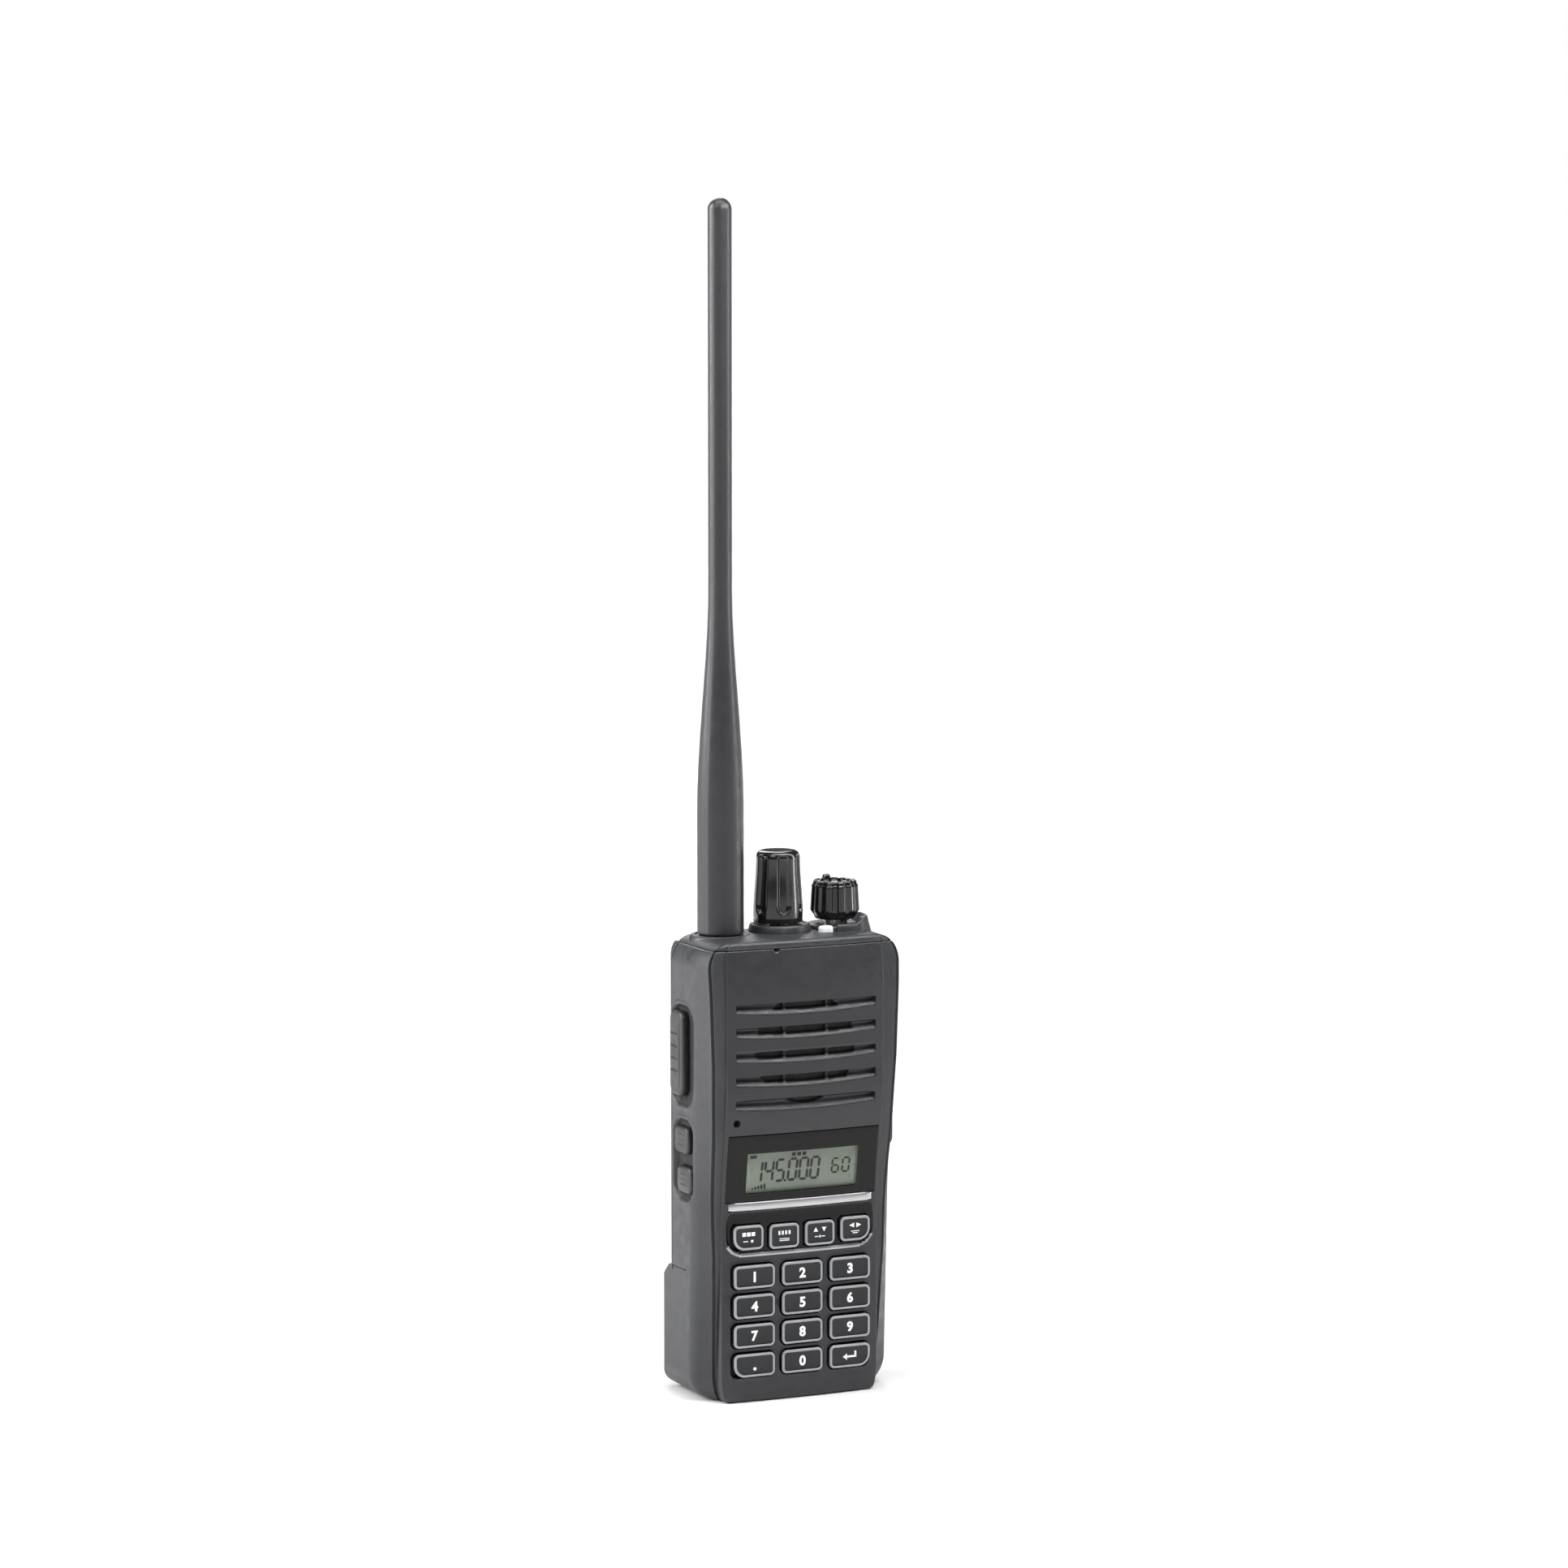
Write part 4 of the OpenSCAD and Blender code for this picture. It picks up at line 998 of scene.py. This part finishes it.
def knob_guard():
    """Curved wall round the front and right of the volume knob, low in front and higher at the corner."""
    shape = Shape()
    pts = np.array([(11.9, -8.7), (14.0, -8.95), (16.5, -8.95), (18.6, -8.7), (20.4, -7.9), (21.8, -6.6),
                    (22.9, -4.8), (23.6, -2.5), (23.9, 0.2), (23.9, 2.8), (23.8, 5.0)])
    low, high = 114.0, 115.45
    base = SEAM_Z + 0.9
    run = np.concatenate([[0], np.cumsum(np.hypot(*np.diff(pts, axis=0).T))])
    middle = np.array([VOL_X, 0])
    rings = []
    for i, t in enumerate(np.linspace(0, run[-1], 40)):
        out = np.array([np.interp(t, run, pts[:, 0]), np.interp(t, run, pts[:, 1])])
        unit = (out - middle) / np.linalg.norm(out - middle)
        inner = middle + unit * 7.05
        top = low + (high - low) * smooth((out[0] - 17.0) / 3.4) - 1.9 * smooth((i - 33) / 7)
        height = top - base
        lean = 0.55 * smooth((out[0] - 18) / 4)
        face = [(0, base), (0.25 + lean * 0.2, base + height * 0.3),
                (0.42 + lean * 0.6, base + height * 0.65), (0.5 + lean, top - 0.25), (0.7 + lean, top - 0.02)]
        wall = [(out - unit * back, z) for back, z in face]
        wall += [(inner + unit * 0.2, top), (inner, top - 0.2), (inner, base)]
        rings.append([(*point, z) for point, z in wall])
    shape.rings(rings)
    shape.done("radio_guard", ["case_plastic"], angle=40)


def status_lens():
    """White oval lens in a raised rim."""
    shape = Shape()
    lo, hi = box_mm("indicator_lens")
    cx, cy, _ = centre("indicator_lens")

    def ring(grow, z):
        pts = outline(3.7 + 2 * grow, 2.4 + 2 * grow, 1.19 + grow, 9)
        return [(cx + u, cy + v, z) for u, v in pts]

    shape.rings([ring(-0.1, lo[2] + 0.5), ring(0, lo[2] + 0.8)]
                + [ring(-inset, hi[2] + up) for inset, up in
                   ((0, -0.35), (0.08, -0.12), (0.3, 0.12), (0.7, 0.25), (1.05, 0.3))])
    rim_steps = ((0.55, 1.7), (0.5, 2.02), (0.3, 2.12), (0.02, 2.12), (0.02, 1.7))
    rim = [ring(grow, SEAM_Z + up) for grow, up in rim_steps]
    shape.rings(rim + [rim[0]], 1, caps=False)
    shape.done("radio_lens", ["lens_white", "case_plastic"], ["indicator_lens"], angle=45)


dial_knob()
volume_knob()
antenna()
top_panel()
knob_guard()
status_lens()


# --- side buttons and covers

def side_cap(shape, side, x_in, x_out, cy, cz, w, h, r, crown_mm, edge=0.45, relief=lambda u, v: 0.0):
    """A crowned cap on the left (-1) or right (1) wall with a rounded edge; relief adds surface detail."""
    rings = []
    for inset, x in ((0.12, x_in), (0.0, x_in + 0.15), (0.0, x_out - edge), (edge * 0.3, x_out - edge * 0.3),
                     (edge, x_out)):
        pts = outline(w - 2 * inset, h - 2 * inset, max(0.2, r - inset))
        rings.append([(side * x, cy + u, cz + v) for u, v in pts])
    for t in (k / 9 for k in range(1, 9)):
        left = 1 - t
        pts = outline((w - 2 * edge) * left, (h - 2 * edge) * left, max(0.02, (r - edge) * left))
        x = x_out + crown_mm * (1 - left ** 2)
        rings.append([(side * (x + relief(u, v)), cy + u, cz + v) for u, v in pts])
    shape.rings(rings)


def ptt_button():
    """Push-to-talk bar: a raised spine at its front edge, and rows of small arc-shaped bumps."""
    shape = Shape()
    _, cy, cz = centre("ptt_button")
    x_out = -box_mm("ptt_button")[0][0] - 0.35
    side_cap(shape, -1, HALF_W - 1.5, x_out, cy, cz, 7.6, 20.5, 2.5, 0.22)
    spine = []
    for t in np.linspace(0, 1, 15):
        z = cz - 8.6 + 17.2 * t
        s = 0.25 + 0.75 * math.sin(math.pi * t) ** 0.5
        profile = ((-0.05, 2.5), (0.2 * s, 2.35), (0.32 * s, 2.05), (0.2 * s, 1.75), (-0.05, 1.6))
        spine.append([(-(x_out + up), cy - y, z) for up, y in profile])
    shape.rings(spine)
    for zc in (cz + 5.1 - 3.0 * row for row in range(4)):
        for yc in (cy - 0.1, cy + 1.8):
            arc = []
            for a in np.linspace(math.pi * 1.1, math.pi * 1.9, 7):
                across = ((0.08, 0.5), (0.34, 0.62), (0.34, 0.78), (0.08, 0.9))
                arc.append([(-(x_out + up), yc + r * math.cos(a), zc + r * math.sin(a)) for up, r in across])
            shape.rings(arc)
    shape.done("button_talk", ["button_rubber"], ["ptt_button"], body="ptt", angle=50)


def side_key(node, body):
    """A small crowned side key with three short finger ribs."""
    shape = Shape()
    _, cy, cz = centre(node)
    x_out = -box_mm(node)[0][0] - 0.25
    side_cap(shape, -1, HALF_W - 1.4, x_out, cy, cz, 8.2, 6.5, 2.0, 0.24)
    for z in (cz - 1.25, cz, cz + 1.25):
        rib = []
        for t in np.linspace(0, 1, 9):
            up = 0.26 * math.sin(math.pi * (0.08 + 0.84 * t)) ** 0.4 + 0.06
            profile = ((0.1, -0.28), (up, -0.1), (up, 0.1), (0.1, 0.28))
            rib.append([(-(x_out + lift), cy + (t - 0.5) * 3.6, z + dz) for lift, dz in profile])
        shape.rings(rib)
    shape.done("button_" + body, ["button_rubber"], [node], body=body, angle=50)


def jack_cover(node, body, name):
    """Rubber cover: crowned pad with a raised rib frame, grip ridges, and a strap to its hinge bead."""
    shape = Shape()
    lo, hi = box_mm(node)
    cz, h = (lo[2] + hi[2]) / 2, hi[2] - lo[2]
    x_out = hi[0]

    def frame_rib(u, v):
        d = max(abs(u) / 2.6, abs(v) / (h / 2 - 1.6))
        return -0.22 * float(smooth((1.0 - d) / 0.16))

    side_cap(shape, 1, lo[0] + 0.05, x_out - 0.15, -1.0, cz, 7.9, h - 0.1, 2.4, 0.12, 1.15, frame_rib)
    hinge_x, low_z, high_z = HALF_W + 0.5, cz - h / 2 + 2.5, cz + h / 2 - 2.5
    strap = []
    for y, s in ((2.2, 0.36), (3.2, 0.34), (4.0, 0.33), (4.5, 0.36), (4.9, 0.3), (5.08, 0.14)):
        x0, x1 = hinge_x - s, hinge_x + s
        strap.append([(x0, y, low_z), (x1, y, low_z), (x1, y, high_z), (x0, y, high_z)])
    shape.rings(strap)
    for z in (cz + 1.5 * k for k in (-1.5, -0.5, 0.5, 1.5)):
        shape.box((x_out - 0.5, -4.1, z - 0.25), (x_out - 0.02, -3.3, z + 0.25), 0, 0.12)
    shape.done(name, ["cover_rubber"], [node], body=body, angle=45)


ptt_button()
side_key("side_key_upper", "side_upper")
side_key("side_key_lower", "side_lower")
jack_cover("audio_cover", "audio_flap", "cover_audio")
jack_cover("power_cover", "power_flap", "cover_power")


# --- battery, rear cover and latch

def softened(node, name, material, body, width):
    """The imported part's own form with rounded edges, as a new piece."""
    mesh = frame["nodes"][node].data.copy()
    bm = bmesh.new()
    bm.from_mesh(mesh)
    bmesh.ops.remove_doubles(bm, verts=bm.verts, dist=2e-6)
    bmesh.ops.dissolve_limit(bm, angle_limit=math.radians(1.5), verts=bm.verts, edges=bm.edges)
    sharp = [e for e in bm.edges if len(e.link_faces) == 2 and e.calc_face_angle(0) > math.radians(32)]
    bmesh.ops.bevel(bm, geom=sharp, offset=width * MM, segments=3, profile=0.5, affect="EDGES",
                    clamp_overlap=True)
    bmesh.ops.recalc_face_normals(bm, faces=bm.faces)
    bm.to_mesh(mesh)
    bm.free()
    mesh.materials.clear()
    mesh.materials.append(MAT[material])
    mesh.polygons.foreach_set("material_index", np.zeros(len(mesh.polygons), dtype=np.int32))
    mesh.shade_smooth()
    mesh.set_sharp_from_angle(angle=math.radians(40))
    obj = place(name, mesh, body, [node])
    weighted = obj.modifiers.new("flat_panels", "WEIGHTED_NORMAL")
    weighted.weight, weighted.keep_sharp = 100, True
    graph = bpy.context.evaluated_depsgraph_get()
    obj.data = bpy.data.meshes.new_from_object(obj.evaluated_get(graph))
    obj.data.name = name
    obj.modifiers.clear()


softened("battery_case", "battery_pack", "battery_plastic", "battery", 0.45)
softened("rear_chassis", "radio_chassis", "chassis_paint", HOUSING, 0.3)
softened("battery_latch", "latch_slider", "button_rubber", "latch", 0.12)


def dress_nodes():
    """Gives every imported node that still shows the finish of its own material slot."""
    slots = {part["node"]: part["material_slot"] for part in frame["record"]["subparts"]}
    for name, obj in frame["nodes"].items():
        if obj.hide_render:
            continue
        mat = MAT[slots[name]]
        if obj.material_slots:
            for s in obj.material_slots:
                s.link = "OBJECT"
                s.material = mat
        else:
            obj.data.materials.append(mat)


dress_nodes()


# --- stage, light and camera

def floor_material():
    """Pale paper that brightens far from the radio, so that it meets the white background."""
    mat = finish("floor_paper", (0.84, 0.84, 0.845), 0.85, 300, 0.03, vary=0.012)
    nodes, links = mat.node_tree.nodes, mat.node_tree.links
    shader = nodes["Principled BSDF"]
    coord = nodes.new("ShaderNodeTexCoord")
    length = nodes.new("ShaderNodeVectorMath")
    length.operation = "LENGTH"
    links.new(coord.outputs["Object"], length.inputs[0])
    ramp = nodes.new("ShaderNodeMapRange")
    ramp.interpolation_type = "SMOOTHSTEP"
    ramp.inputs["From Min"].default_value, ramp.inputs["From Max"].default_value = 0.3, 1.6
    ramp.inputs["To Max"].default_value = FAR_GLOW
    links.new(length.outputs["Value"], ramp.inputs["Value"])
    links.new(ramp.outputs["Result"], shader.inputs["Emission Strength"])
    shader.inputs["Emission Color"].default_value = (1, 1, 1, 1)
    return mat


def stage():
    """A wide pale floor under the radio."""
    rings = (0.0001, 0.4, 0.9, 1.6, 3.0, 6.0, 14.0)
    n = 48
    turns = [2 * math.pi * k / n for k in range(n)]
    verts = [(r * math.cos(a), r * math.sin(a), 0) for r in rings for a in turns]
    faces = [(i * n + k, i * n + (k + 1) % n, (i + 1) * n + (k + 1) % n, (i + 1) * n + k)
             for i in range(len(rings) - 1) for k in range(n)]
    mesh = bpy.data.meshes.new("floor")
    mesh.from_pydata(verts, [], faces)
    mesh.materials.append(floor_material())
    show("floor", mesh)


def direction(azimuth, elevation):
    """Unit vector from the radio towards a place; azimuth 0 is straight in front."""
    a, e = math.radians(azimuth), math.radians(elevation)
    return Vector((math.sin(a) * math.cos(e), -math.cos(a) * math.cos(e), math.sin(e)))


def area_light(name, azimuth, elevation, distance, size, energy, aim=(0, 0, 0.12)):
    """A soft light aimed at a point, from an azimuth and elevation seen from it."""
    pos = Vector(aim) + distance * direction(azimuth, elevation)
    data = bpy.data.lights.new(name, "AREA")
    data.shape, data.size, data.size_y, data.energy = "RECTANGLE", size[0], size[1], energy
    obj = show(name, data)
    obj.location = pos
    obj.rotation_euler = (Vector(aim) - pos).to_track_quat("-Z", "Y").to_euler()


CAM_AZ, CAM_EL, CAM_DISTANCE, CAM_LENS = -25.0, 6.5, 1.303, 124.1
CAM_TARGET_Z, CAM_SHIFT_RIGHT = 0.148, 0.00148


def camera():
    back = direction(CAM_AZ, CAM_EL)
    right = Vector((math.cos(math.radians(CAM_AZ)), math.sin(math.radians(CAM_AZ)), 0))
    target = Vector((0, 0, CAM_TARGET_Z)) + right * CAM_SHIFT_RIGHT
    data = bpy.data.cameras.new("camera")
    data.lens, data.sensor_width, data.sensor_fit = CAM_LENS, 36.0, "HORIZONTAL"
    data.clip_start, data.clip_end = 0.05, 20
    obj = show("camera", data)
    obj.location = target + back * CAM_DISTANCE
    obj.rotation_euler = back.to_track_quat("Z", "Y").to_euler()
    bpy.context.scene.camera = obj


def studio_world(glow, seen):
    """Soft light from all round, with a white background behind the radio."""
    world = bpy.data.worlds.new("studio")
    world.use_nodes = True
    nodes, links = world.node_tree.nodes, world.node_tree.links
    light = nodes["Background"]
    light.inputs["Color"].default_value = (1, 1, 1, 1)
    light.inputs["Strength"].default_value = glow
    white = nodes.new("ShaderNodeBackground")
    white.inputs["Color"].default_value = (1, 1, 1, 1)
    white.inputs["Strength"].default_value = seen
    path = nodes.new("ShaderNodeLightPath")
    mix = nodes.new("ShaderNodeMixShader")
    links.new(path.outputs["Is Camera Ray"], mix.inputs["Fac"])
    links.new(light.outputs[0], mix.inputs[1])
    links.new(white.outputs[0], mix.inputs[2])
    links.new(mix.outputs[0], nodes["World Output"].inputs["Surface"])
    bpy.context.scene.world = world


FAR_GLOW = 0.95
stage()
camera()
area_light("facet_light", -122, 24, 0.9, (0.3, 0.7), 8)
area_light("key_left", -55, 40, 1.0, (0.4, 0.5), 1.5)
area_light("plate_light", 28, 56, 0.3, (0.3, 0.12), 0.9, (0, 0, 0.13))
area_light("streak_left", -95, 10, 1.0, (0.12, 0.9), 4, (0, 0, 0.25))
area_light("streak_right", 66, 12, 1.0, (0.12, 1.0), 4, (0, 0, 0.25))
area_light("top_soft", -20, 80, 1.0, (1.1, 0.6), 8)
area_light("back_rim", 165, 35, 1.3, (0.6, 0.9), 6)
studio_world(0.07, 1.0)
bpy.context.scene.view_settings.view_transform = "Standard"
